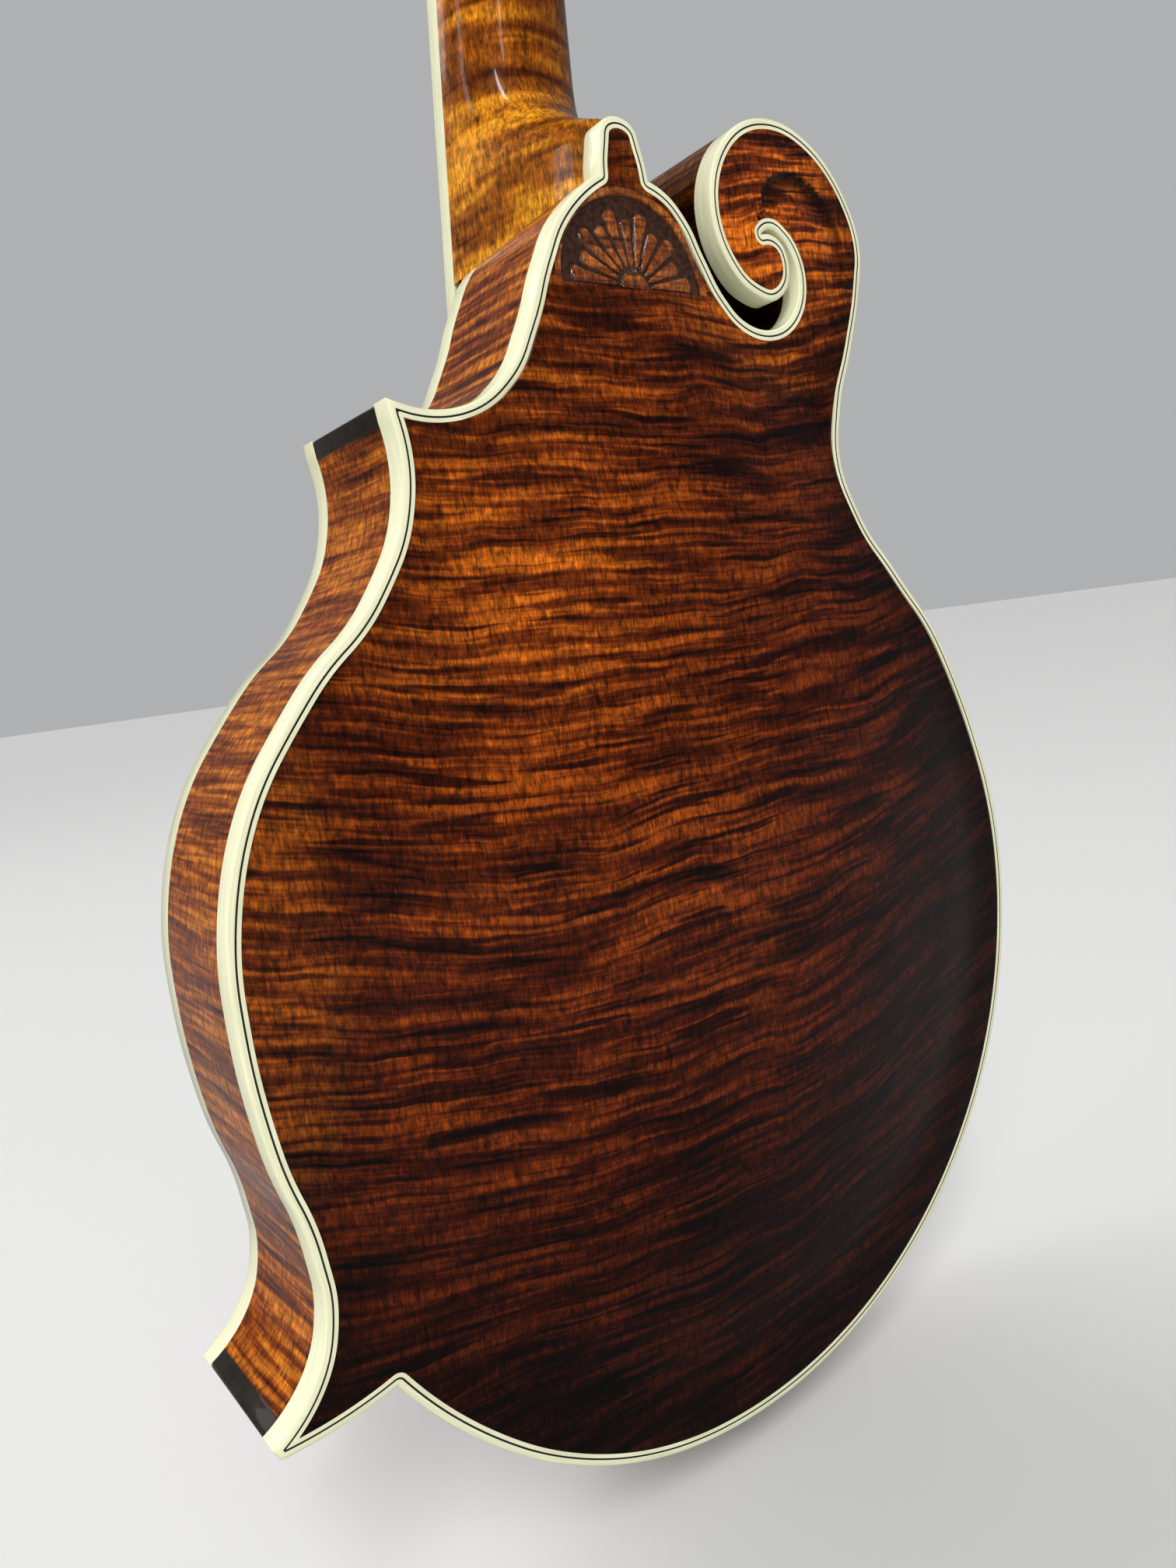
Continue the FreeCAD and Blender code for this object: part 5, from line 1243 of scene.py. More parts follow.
def makeCaps():
    path = cleared(frontPath, bodySizes["bindingWidth"])
    places = [entry[0] for entry in path]
    for name, (before, after) in capSettings["reaches"].items():
        first = next(i for i, entry in enumerate(path) if entry[3] == name + "Tip")
        tip = places[first]
        start, end = first, first
        while (places[start] - tip).length < before:
            start -= 1
        while (places[end] - tip).length < after:
            end += 1
        piece = prism(name + "Cap", places[start:end + 1], -innerPlane, innerPlane)
        roundTips(piece, path, stripSettings["tipRounding"])
        rounded(piece, capSettings["bevel"], 2, 50)
        finishPiece(piece, name + "Cap", "instrument", looks["cap"],
                    [f"{name}_point_cap"])


makeBack()
makeFan()
makeSides()
makeCaps()
print("body ready")


# Top plate with its sound holes

holeSettings = {
    "spine": [(0.128, 0.600), (0.165, 0.596), (0.190, 0.560), (0.212, 0.500), (0.232, 0.440),
              (0.255, 0.375), (0.290, 0.345)],
    "stem": 6.0, "eyes": [((0.128, 0.600), 4.2), ((0.290, 0.345), 5.0)], "notch": 1.3,
}


def soundHoleCutter(side):
    h = holeSettings
    spine = [station(s) for s in h["spine"]]
    left, right = [], []
    for i, here in enumerate(spine):
        along = (spine[min(i + 1, len(spine) - 1)] - spine[max(i - 1, 0)]).normalized()
        wide = h["stem"] / 2 * (0.55 + 0.45 * math.sin(math.pi * i / (len(spine) - 1)))
        left.append(here + Vector((-along.y, along.x)) * wide)
        right.append(here - Vector((-along.y, along.x)) * wide)
    loop = bendThrough(left) + bendThrough(right)[::-1]
    parts = [prism("stem", [(side * p.x, p.y) for p in loop], -60, -10)]
    for shares, radius in h["eyes"]:
        eye = station(shares)
        ring = [(side * eye.x + radius * math.cos(2 * math.pi * k / 48),
                 eye.y + radius * math.sin(2 * math.pi * k / 48)) for k in range(48)]
        parts.append(prism("eye", ring, -61, -9))
    middle = spine[3]
    for way in (-1, 1):
        tip = middle + Vector((way * (h["stem"] / 2 + h["notch"]), 0))
        foot = middle + Vector((way * h["stem"] / 4, 0))
        nick = [(side * tip.x, tip.y), (side * foot.x, foot.y + h["notch"]),
                (side * foot.x, foot.y - h["notch"])]
        parts.append(prism("nick", nick, -62, -8))
    return parts


def makeTop():
    loop = drawnIn(frontPath, stripSettings["plateStart"])

    def topHeight(x, z):
        return halfRim + archHeight(x, z, bodySizes["topArch"])

    plate = carvedPlate("topPlate", loop, topHeight, plateInner(bodySizes["topArch"]), -1)
    for side in (-1, 1):
        for cutter in soundHoleCutter(side):
            cutBy(plate, cutter)
    edgeMarks(plate, loop)
    finishPiece(plate, "topPlate", "instrument", looks["spruce"], ["top_plate"])


# Neck and peghead

neckSettings = {
    "heel": [(-0.30, 1.30, 1.45), (0.30, 1.26, 1.45), (0.62, 1.22, 1.45), (0.74, 1.00, 1.50),
             (0.82, 0.78, 1.60), (0.92, 0.58, 1.75), (1.06, 0.455, 1.90), (1.30, 0.40, 2.0)],
    "nutDepth": 15.5, "sides": 48, "rows": 110, "headRows": 14,
}
headStations = {
    "trebleRoot": [(1.04, 0.0), (1.22, 0.028), (1.80, 0.075)],
    "treble": [(1.80, 0.075), (1.84, 0.150), (1.78, 0.360), (1.80, 0.520), (1.98, 0.625),
               (2.36, 0.700), (2.98, 0.752)],
    "top": [(2.98, 0.752), (2.36, 0.812), (1.86, 0.880), (1.22, 0.912), (0.62, 0.890),
            (0.20, 0.830)],
    "curl": [(0.20, 0.830), (0.02, 0.905), (-0.40, 0.965), (-1.10, 1.0), (-2.02, 0.985),
             (-2.70, 0.925), (-2.92, 0.840), (-2.60, 0.760), (-2.14, 0.705), (-1.88, 0.625),
             (-1.78, 0.500), (-1.78, 0.300), (-1.84, 0.150), (-1.80, 0.075)],
    "bassRoot": [(-1.80, 0.075), (-1.22, 0.028), (-1.04, 0.0)],
    "foot": [(-1.04, 0.0), (1.04, 0.0)],
}


def boardHalf(along):
    b = boardSizes
    return (b["jointWidth"] - (b["jointWidth"] - b["nutWidth"]) * along / nutStation) / 2


def eased(stops, at):
    # smooth interpolation through (place, value, value...) rows
    places = [row[0] for row in stops]
    at = min(max(at, places[0]), places[-1])
    i = min(max(next((k for k, p in enumerate(places) if p >= at), 1), 1), len(places) - 1)
    a, b = stops[i - 1], stops[i]
    before = stops[max(i - 2, 0)]
    after = stops[min(i + 1, len(stops) - 1)]
    span = b[0] - a[0]
    t = (at - a[0]) / span
    values = []
    for k in range(1, len(a)):
        chord = (b[k] - a[k]) / span
        slopes = []
        for left, right in ((before, b), (a, after)):
            slope = (right[k] - left[k]) / (right[0] - left[0])
            slopes.append(0.0 if slope * chord <= 0 else
                          math.copysign(min(abs(slope), 3 * abs(chord)), chord))
        values.append((2 * t ** 3 - 3 * t ** 2 + 1) * a[k] + (t ** 3 - 2 * t ** 2 + t)
                      * span * slopes[0] + (3 * t ** 2 - 2 * t ** 3) * b[k]
                      + (t ** 3 - t ** 2) * span * slopes[1])
    return values


def powerOf(value, exponent):
    return math.copysign(abs(value) ** exponent, value)


def neckRing(along, depth, fullness):
    half, sides = boardHalf(along), neckSettings["sides"]
    return [Vector((half * powerOf(math.cos(math.pi * i / sides), 2 / fullness),
                    boardSizes["thickness"]
                    + depth * abs(math.sin(math.pi * i / sides)) ** (2 / (fullness + 0.2)), along))
            for i in range(sides + 1)]


headToBoard = boardFrame.inverted() @ headFrame


def headRing():
    sides = neckSettings["sides"]
    half = boardSizes["nutWidth"] / 2 * 1.22
    rise = headSizes["length"] * 0.028 + headSizes["thickness"]
    ring = []
    for i in range(sides + 1):
        turn = math.pi * i / sides
        depth = headSizes["overlay"] + headSizes["thickness"] * abs(math.sin(turn)) ** 0.45
        ring.append(headToBoard @ Vector((half * powerOf(math.cos(turn), 0.45), depth, rise)))
    return ring


def ringsPiece(name, rings):
    count = len(rings[0])
    faces = [(i * count + k, i * count + (k + 1) % count, (i + 1) * count + (k + 1) % count,
              (i + 1) * count + k) for i in range(len(rings) - 1) for k in range(count)]
    faces += [tuple(range(count))[::-1], tuple(range(count * (len(rings) - 1),
                                                     count * len(rings)))]
    piece = pieceFrom(name, [p for ring in rings for p in ring], faces)
    tidyNormals(piece)
    return piece


def headRuns():
    runs = []
    for name, shares in reversed(list(headStations.items())):
        points = [Vector((a * boardSizes["nutWidth"] / 2, b * headSizes["length"]))
                  for a, b in shares]
        runs.append((name, bendThrough(points, step=0.6)[::-1]))
    return runs


headPath, headRun = pathAlong(headRuns())


def makeNeck():
    n = neckSettings
    stops = [(place * boardSizes["jointWidth"], depth * bodySizes["rimDepth"], full)
             for place, depth, full in n["heel"]]
    end = nutStation - n["nutDepth"]
    stops.append((end, n["nutDepth"], 2.0))
    low = stops[0][0]
    rows = [low + (end - low) * (k / n["rows"]) ** 1.6 for k in range(n["rows"] + 1)]
    rings = [neckRing(along, *eased(stops, along)) for along in rows]
    root = headRing()
    for k in range(1, n["headRows"] + 1):
        share = k / n["headRows"]
        blend = share * share * (3 - 2 * share)
        rings.append([Vector((a.x + (b.x - a.x) * blend, a.y + (b.y - a.y) * blend,
                              a.z + (b.z - a.z) * share)) for a, b in zip(rings[n["rows"]], root)])
    neck = ringsPiece("neck", rings)
    neck.data.transform(boardFrame)
    rim = [entry[0] for entry in frontPath]
    cutBy(neck, prism("rimRoom", rim, -70, 70))
    cutBy(neck, block("buttonRoom", (-150, innerPlane, 0), (150, 90, 420)))
    h = headSizes
    head = prism("head", [entry[0] for entry in headPath], h["overlay"],
                 h["overlay"] + h["thickness"])
    rounded(head, 0.5, 3, 50)
    head.data.transform(headFrame)
    cutBy(neck, head, "UNION")
    finishPiece(neck, "neckAndPeghead", "instrument", looks["neck"], ["neck"])


def tunerPlace(number):
    side = -1 if number < 4 else 1
    return Vector((side * headSizes["postOffset"], 0,
                   headSizes["firstTuner"] + (number % 4) * headSizes["tunerPitch"]))


def makePeghead():
    h, wide = headSizes, boardSizes["binding"]
    strip = sweptBand("pegheadBinding", headPath, headRun,
                      [(0.0, h["overlay"]), (0.0, 0.3), (0.25, 0.0), (wide, 0.0),
                       (wide, h["overlay"])])
    finishPiece(strip, "pegheadBinding", "instrument", looks["cream"],
                ["peghead_binding"], headFrame)
    veneer = prism("pegheadVeneer", drawnIn(headPath, wide), 0.02, h["overlay"])
    finishPiece(veneer, "pegheadVeneer", "instrument", looks["veneer"],
                ["peghead_overlay"], headFrame)
    for number in range(8):
        place = headFrame @ Matrix.Translation(tunerPlace(number)) @ turnX(90)
        ring = turned("bushing", [(3.1, 0.0), (4.6, 0.0), (4.6, 0.35), (4.2, 0.75), (3.4, 0.85),
                                  (3.1, 0.6), (3.1, 0.0)], 40, place)
        finishPiece(ring, f"postBushing{number + 1}", "instrument", looks["nickel"])


coverSettings = {
    "bell": [(-8.0, 0.0), (-8.4, 4.0), (-7.6, 9.0), (-4.6, 13.8), (-1.6, 18.0), (0.0, 21.6)],
    "thickness": 1.8, "screws": [(-5.2, 3.6), (5.2, 3.6), (0.0, 17.0)],
}


def makeRodCover():
    c = coverSettings
    left = bendThrough([Vector(p) for p in c["bell"]], step=0.6)
    loop = left + [Vector((-p.x, p.y)) for p in left[::-1][1:]]
    cover = prism("rodCover", loop, -c["thickness"], 0.0)
    rounded(cover, 0.45, 3, 50)
    finishPiece(cover, "rodCover", "instrument", looks["plastic"],
                ["truss_rod_cover"], headFrame)
    for index, (x, z) in enumerate(c["screws"]):
        makeScrew(f"coverScrew{index + 1}", headFrame @ Matrix.Translation(
            (x, -c["thickness"], z)) @ turnX(90), 1.5)


def makeScrew(name, place, radius):
    head = turned("screw", [(0.0, 0.0), (radius, 0.0), (radius, 0.12), (radius * 0.78, 0.5),
                            (radius * 0.35, 0.68), (0.0, 0.72)], 28)
    for turn in (0, 90):
        slot = block("slot", (-radius * 0.62, -0.14, 0.36), (radius * 0.62, 0.14, 1.2),
                     turnAbout("Z", turn + 20))
        cutBy(head, slot)
    return finishPiece(head, name, "instrument", looks["nickel"], place=place)


# Fingerboard, frets and nut

def fretPlace(number):
    return nutStation - boardSizes["scale"] * (1 - 2 ** (-number / 12))


def boardRuns():
    last = fretPlace(boardSizes["fretCount"]) - boardSizes["tail"]
    early = fretPlace(boardSizes["fretCount"] * 0.76)
    end, start = boardHalf(last), boardHalf(early)
    corners = [Vector((-start, early)), Vector((-boardHalf(nutStation), nutStation)),
               Vector((boardHalf(nutStation), nutStation)), Vector((end, last)),
               Vector((end * 0.35, last))]
    runs = [(f"edge{i}", bendThrough([a, b], step=4)) for i, (a, b) in
            enumerate(zip(corners, corners[1:]))]
    runs.append(("curve", bendThrough(
        [corners[-1], Vector((end * 0.02, (last * 2 + early) / 3)),
         Vector((-end * 0.45, (last + early * 3) / 4)), corners[0]], step=0.8)))
    return runs


boardPath, boardRun = pathAlong(boardRuns())


boardInside = drawnIn(boardPath, boardSizes["binding"])
dotSettings = {
    "front": {5: (0,), 7: (0,), 10: (0,), 12: (-5.5, 5.5), 15: (0,), 17: (0,), 20: (0,)},
    "side": {5: (0,), 7: (0,), 10: (0,), 12: (3.0, -3.0), 15: (0,)},
}


def makeBoard():
    b = boardSizes
    board = prism("fingerboard", boardInside, 0.0, b["thickness"])
    rounded(board, 0.15, 2, 60)
    finishPiece(board, "fingerboard", "instrument", looks["ebony"], ["fingerboard"],
                boardFrame)
    strip = sweptBand("fingerboardBinding", boardPath, boardRun,
                      [(0.0, b["thickness"]), (0.0, 0.5), (0.15, 0.15), (0.5, 0.0),
                       (b["binding"], 0.0), (b["binding"], b["thickness"])])
    finishPiece(strip, "fingerboardBinding", "instrument", looks["cream"],
                ["fingerboard_binding"], boardFrame)


def makeFrets():
    wires = []
    profile = [(math.cos(math.pi * k / 8) * 0.7, -math.sin(math.pi * k / 8) * 1.0)
               for k in range(9)]
    for number in range(1, boardSizes["fretCount"] + 1):
        level = fretPlace(number)
        across = np.arange(-24, 24, 0.1)
        inner = insideLoop(np.array([(x, level) for x in across]), boardInside)
        ends = across[inner][0] + 0.15, across[inner][-1] - 0.15
        rings = []
        for x, fall in ((ends[0], 0.25), (ends[0] + 0.5, 0.85), (ends[0] + 1.0, 1.0),
                        (ends[1] - 1.0, 1.0), (ends[1] - 0.5, 0.85), (ends[1], 0.25)):
            rings.append([Vector((x, y * fall + 0.05, level + z)) for z, y in profile])
        wires.append(ringsPiece("fret", rings))
    frets = joinPieces(wires)
    finishPiece(frets, "frets", "instrument", looks["fretWire"], ["frets"],
                boardFrame, smooth=50)


def betweenFrets(number):
    return (fretPlace(number) + fretPlace(number - 1)) / 2


def makeDots():
    dots = []
    for number, spots in dotSettings["front"].items():
        for x in spots:
            dots.append(turned("dot", [(0.0, -0.5), (2.3, -0.5), (2.3, 0.02), (2.2, 0.05),
                                       (0.0, 0.05)], 36,
                               Matrix.Translation((x, 0, betweenFrets(number))) @ turnX(90)))
    finishPiece(joinPieces(dots), "positionDots", "instrument", looks["pearl"],
                place=boardFrame)
    dots = []
    for number, shifts in dotSettings["side"].items():
        for shift in shifts:
            level = betweenFrets(number) + shift
            dots.append(rod("dot", 0.9, -0.5, 0.03, 20,
                            Matrix.Translation((-boardHalf(level), 2.4, level))
                            @ turnAbout("Y", -90)))
    finishPiece(joinPieces(dots), "sideDots", "instrument", looks["plastic"],
                place=boardFrame)


stringSettings = {
    "radii": [0.5, 0.383, 0.267, 0.15], "nutSpread": 22.6, "bridgeSpread": 39.5,
    "nutPair": 2.0, "bridgePair": 2.7, "rise": 4.9, "wraps": 3.5,
}


def spreadOf(spread, pair):
    return [spread * (course / 3 - 0.5) + way * pair / 2 for course in range(4) for way in (-1, 1)]


def makeNut():
    b = boardSizes
    half = b["nutWidth"] / 2
    nut = pieceFrom("nut", [(x, y, z) for x in (-half, half) for y, z in (
        (-b["nutHeight"], 0.0), (b["thickness"], 0.0), (b["thickness"], b["nutThickness"]),
        (-b["nutHeight"] * 0.6, b["nutThickness"]))],
        [(0, 1, 2, 3), (7, 6, 5, 4), (0, 4, 5, 1), (1, 5, 6, 2), (2, 6, 7, 3), (3, 7, 4, 0)])
    tidyNormals(nut)
    rounded(nut, 0.5, 3, 50)
    for number, x in enumerate(spreadOf(stringSettings["nutSpread"], stringSettings["nutPair"])):
        radius = stringSettings["radii"][number // 2]
        place = Matrix.Translation((x, -b["nutHeight"] + radius * 0.1 - 0.05, 0)) @ turnX(4)
        cutBy(nut, rod("slot", radius + 0.12, -3.0, 9.0, 16, place))
    place = boardFrame @ Matrix.Translation((0, 0, nutStation))
    finishPiece(nut, "nut", "instrument", looks["bone"], ["nut"], place)


makeTop()
makeNeck()
makePeghead()
makeRodCover()
makeBoard()
makeFrets()
makeDots()
makeNut()
print("top, neck and fingerboard ready")


# Tuners

tunerSettings = {
    "teeth": 14, "toothDepth": 0.9, "shaft": 1.5, "postRadius": 3.0, "waist": 2.45,
    "wormTurns": 4, "ear": 1.5, "earHalf": 3.0, "knobRows": 22, "knobSides": 40,
    "plateEnd": [(0.0, 4.0), (1.2, 1.6), (3.6, 0.9), (5.2, 0.0)], "cornerScrew": (4.9, 2.8),
}
plateBack = headSizes["overlay"] + headSizes["thickness"] + headSizes["plateThickness"]
wormDepth = plateBack + headSizes["gap"] + headSizes["gearThickness"] / 2
wormHeight = headSizes["gearRadius"] + headSizes["wormRadius"] + headSizes["gap"]
sideways = turnAbout("Z", 90)


def makeTunerPlate(name, side, node):
    h, t = headSizes, tunerSettings
    half = h["plateWidth"] / 2
    low = h["firstTuner"] - half
    high = h["firstTuner"] + 3 * h["tunerPitch"] + wormHeight + half * 0.8
    middle = side * h["postOffset"]
    loop = []
    for z, way in ((low, 1), (high, -1)):
        end = [(inwards - half, z + way * up) for inwards, up in t["plateEnd"]]
        end += [(-x, level) for x, level in end[::-1]]
        loop += end if way > 0 else end[::-1]
    strip = prism(name, [(middle + x, z) for x, z in loop], plateBack - h["plateThickness"],
                  plateBack)
    rounded(strip, 0.25, 2, 50)
    parts = [strip]
    for rank in range(4):
        level = h["firstTuner"] + rank * h["tunerPitch"] + wormHeight
        arch = [(wormDepth + t["earHalf"] * math.sin(math.pi * k / 14),
                 level - t["earHalf"] * math.cos(math.pi * k / 14)) for k in range(15)]
        loop = [(plateBack - 0.3, level - t["earHalf"]), *arch,
                (plateBack - 0.3, level + t["earHalf"])]
        for edge in (-1, 1):
            inner, outer = sorted((edge * (half - t["ear"]), edge * half))
            ear = prism("ear", loop, -(middle + outer), -(middle + inner), sideways)
            parts.append(rounded(ear, 0.3, 2, 50))
    plate = joinPieces(parts)
    finishPiece(plate, name, "instrument", looks["nickel"], [node], headFrame)
    # the lowest screw sits in the corner, clear of the gear above it
    spots = [(side * t["cornerScrew"][0], low + t["cornerScrew"][1])]
    spots += [(0.0, h["firstTuner"] + h["tunerPitch"] * (k + 0.66)) for k in range(3)]
    spots.append((0.0, high - 2.2))
    for index, (x, z) in enumerate(spots):
        place = headFrame @ Matrix.Translation((middle + x, plateBack, z)) @ turnX(-90)
        makeScrew(f"{name}Screw{index + 1}", place, 1.5)


def makePost():
    h, t = headSizes, tunerSettings
    reach, radius, waist = h["postReach"], t["postRadius"], t["waist"]
    seat = reach + plateBack + h["gap"]
    hole = reach * 0.55
    profile = [(0.0, 0.0), (radius * 0.72, 0.0), (radius * 0.93, 0.35), (radius, 0.9),
               (radius, hole - 3.4), (radius * 0.97, hole - 2.9), (waist + 0.1, hole - 1.6),
               (waist, hole), (waist + 0.1, hole + 1.6), (radius * 0.97, hole + 2.9),
               (radius, hole + 3.4), (radius, seat), (0.0, seat)]
    post = turned("post", profile, 48)
    cutBy(post, rod("hole", 0.75, -5.0, 5.0, 20, Matrix.Translation((0, 0, hole))
                    @ turnAbout("Y", 90)))
    teeth, tip, root = t["teeth"], h["gearRadius"], h["gearRadius"] - t["toothDepth"]
    ring = []
    for k in range(teeth):
        for turn, reached in ((-0.42, root), (-0.26, root), (-0.15, tip - 0.12), (-0.08, tip),
                              (0.08, tip), (0.15, tip - 0.12), (0.26, root), (0.42, root)):
            angle = 2 * math.pi * (k + turn) / teeth
            ring.append((reached * math.cos(angle), reached * math.sin(angle)))
    gear = prism("gear", ring, -seat - h["gearThickness"], -seat, turnX(-90))
    rounded(gear, 0.18, 2, 50)
    head = turned("head", [(0.0, 0.0), (2.5, 0.0), (2.5, 0.35), (1.9, 0.9), (0.8, 1.15),
                           (0.0, 1.2)], 32)
    cutBy(head, block("slot", (-3, -0.3, 0.5), (3, 0.3, 2)))
    head.data.transform(Matrix.Translation((0, 0, seat + h["gearThickness"])))
    return joinPieces([post, gear, head])


def makeKnob():
    h, t = headSizes, tunerSettings
    start = h["plateWidth"] / 2 + h["buttonReach"]
    wide = [(0.0, 0.40), (0.05, 0.47), (0.25, 0.80), (0.55, 1.0), (0.80, 0.88), (0.95, 0.55),
            (1.0, 0.40)]
    thick = [(0.0, 0.50), (0.08, 0.72), (0.3, 0.97), (0.6, 1.0), (0.85, 0.86), (0.96, 0.6),
             (1.0, 0.42)]
    rings = []
    for k in range(t["knobRows"] + 1):
        at = (1 - math.cos(math.pi * k / t["knobRows"])) / 2
        half = h["buttonRadius"] * eased(wide, at)[0]
        deep = h["buttonRadius"] * 0.55 * eased(thick, at)[0]
        rings.append([Vector((half * powerOf(math.cos(2 * math.pi * i / t["knobSides"]), 0.85),
                              deep * powerOf(math.sin(2 * math.pi * i / t["knobSides"]), 0.85),
                              start + h["buttonLength"] * at)) for i in range(t["knobSides"])])
    return ringsPiece("knob", rings)


def makeWorm():
    h, t = headSizes, tunerSettings
    half = h["plateWidth"] / 2
    reach = half + h["buttonReach"]
    span, rows = half * 1.1, t["wormTurns"] * 12
    rings = []
    for k in range(rows + 1):
        z = -span / 2 + span * k / rows
        fade = min(1.0, 6 * (0.5 - abs(k / rows - 0.5)))
        ring = []
        for i in range(28):
            angle = 2 * math.pi * i / 28
            thread = math.sin(2 * math.pi * t["wormTurns"] * k / rows - angle)
            radius = 1.45 + (h["wormRadius"] - 1.5) * (0.5 + 0.5 * math.copysign(
                abs(thread) ** 0.6, thread)) * fade
            ring.append(Vector((radius * math.cos(angle), radius * math.sin(angle), z)))
        rings.append(ring)
    worm = ringsPiece("worm", rings)
    r = t["shaft"]
    shaft = turned("shaft", [
        (0.0, -half - 0.6), (0.9, -half - 0.6), (r, -half - 0.2), (r, half + 0.2),
        (2.3, half + 0.3), (2.5, half + 0.8), (2.3, half + 1.3), (r, half + 1.5),
        (r * 0.85, half + 4.0), (r, reach - 2.2), (2.2, reach - 1.6), (2.7, reach - 0.9),
        (2.7, reach + 0.1), (0.0, reach + 0.1)], 32)
    cap = turned("cap", [(0.0, 0.0), (1.6, 0.0), (1.6, 0.2), (1.0, 0.55), (0.0, 0.7)], 24,
                 Matrix.Translation((0, 0, reach + h["buttonLength"] - 0.1)))
    return joinPieces([worm, shaft, cap])


def copied(piece):
    twin = piece.copy()
    twin.data = piece.data.copy()
    bpy.context.scene.collection.objects.link(twin)
    return twin


def makeTuners():
    makeTunerPlate("tunerPlateBass", -1, "tuner_plate_bass")
    makeTunerPlate("tunerPlateTreble", 1, "tuner_plate_treble")
    knob, worm = makeKnob(), makeWorm()
    post = makePost()
    for number in range(8):
        spot = tunerPlace(number)
        side = math.copysign(1, spot.x)
        place = (headFrame @ Matrix.Translation((spot.x, wormDepth, spot.z + wormHeight))
                 @ turnAbout("Y", 90 * side))
        postPlace = (headFrame @ Matrix.Translation(spot - Vector((0, headSizes["postReach"], 0)))
                     @ turnX(-90))
        node = f"tuner_button_{number + 1}"
        finishPiece(copied(knob), f"tunerKnob{number + 1}", node, looks["pearl"],
                    [node], place, smooth=60)
        finishPiece(copied(worm), f"tunerWorm{number + 1}", node, looks["nickel"],
                    [node], place)
        node = f"tuner_post_{number + 1}"
        finishPiece(copied(post), f"tunerPost{number + 1}", node, looks["nickel"],
                    [node], postPlace)
    for piece in (knob, worm, post):
        bpy.data.objects.remove(piece)


# Bridge

bridgeSettings = {
    "length": 118.0, "width": 11.0, "baseHeight": 7.0, "stud": 36.0, "studRadius": 1.5,
    "wheelRadius": 6.0, "wheelThickness": 1.8, "saddleLength": 102.0, "saddleHeight": 7.5,
    "crest": 2.0, "steps": [1.5, -0.5, 0.7, -1.3], "knurls": 40, "edge": 1.1, "bore": 1.62,
    "footShare": 0.7,
}
bridgeZ = (boardSizes["jointStation"] - (boardSizes["scale"] - nutStation)
           * math.cos(math.radians(boardSizes["angle"])))
crestY = ((boardFrame @ Vector((0, 0, nutStation - boardSizes["scale"]))).y
          - stringSettings["rise"])
bridgeTop = -halfRim - archHeight(0, bridgeZ, bodySizes["topArch"]) - bridgeSettings["baseHeight"]
studFoot = bridgeTop + bridgeSettings["baseHeight"] * bridgeSettings["footShare"]
saddleFoot = crestY + bridgeSettings["saddleHeight"]


def ridgePlace(x):
    # the crest steps to and fro between the four courses
    steps = bridgeSettings["steps"]
    course = min(3, max(0, int((x / stringSettings["bridgeSpread"] + 0.5) * 3 + 0.5)))
    return steps[course]


def makeBridgeBase():
    b = bridgeSettings
    half, wide, edge = b["length"] / 2, b["width"] / 2, b["edge"]
    flat = b["stud"] + b["wheelRadius"]
    rings = []
    for k in range(81):
        x = -half + 2 * half * k / 80
        share = max(0.0, (abs(x) - flat) / (half - flat))
        top = bridgeTop + (studFoot - bridgeTop) * (3 * share ** 2 - 2 * share ** 3)
        narrow = wide * math.sqrt(max(0.0, 1 - max(0.0, (abs(x) - half + 3.0) / 3.0) ** 2 * 0.5))
        ring = []
        for z in (-narrow, -narrow / 3, narrow / 3, narrow):
            seat = -halfRim - archHeight(x, bridgeZ + z, bodySizes["topArch"]) - 0.06
            ring.append(Vector((x, max(seat, top + 1.2), bridgeZ + z)))
        for side, turns in ((1, range(0, 91, 18)), (-1, range(90, 181, 18))):
            for turn in turns:
                a = math.radians(turn)
                ring.append(Vector((x, top + edge - edge * math.sin(a),
                                    bridgeZ + side * (narrow - edge) + edge * math.cos(a))))
        rings.append(ring)
    base = ringsPiece("base", rings)
    finishPiece(base, "bridgeBase", "instrument", looks["ebony"], ["bridge_base"])


def makeWheel(side):
    b = bridgeSettings
    name = "bridge_wheel_" + ("bass" if side < 0 else "treble")
    ring, rim = [], b["wheelRadius"]
    for k in range(b["knurls"]):
        for turn, reached in ((0.0, rim - 0.28), (0.3, rim), (0.7, rim)):
            angle = 2 * math.pi * (k + turn) / b["knurls"]
            ring.append((reached * math.cos(angle), reached * math.sin(angle)))
    wheel = prism("wheel", ring, 0.05, b["wheelThickness"])
    rounded(wheel, 0.15, 1, 60)
    cutBy(wheel, rod("bore", b["bore"], -3.0, 4.0, 28, turnX(90)))
    finishPiece(wheel, "bridgeWheel" + ("Bass" if side < 0 else "Treble"), name,
                looks["brass"], [name],
                Matrix.Translation((side * b["stud"], saddleFoot, bridgeZ)))


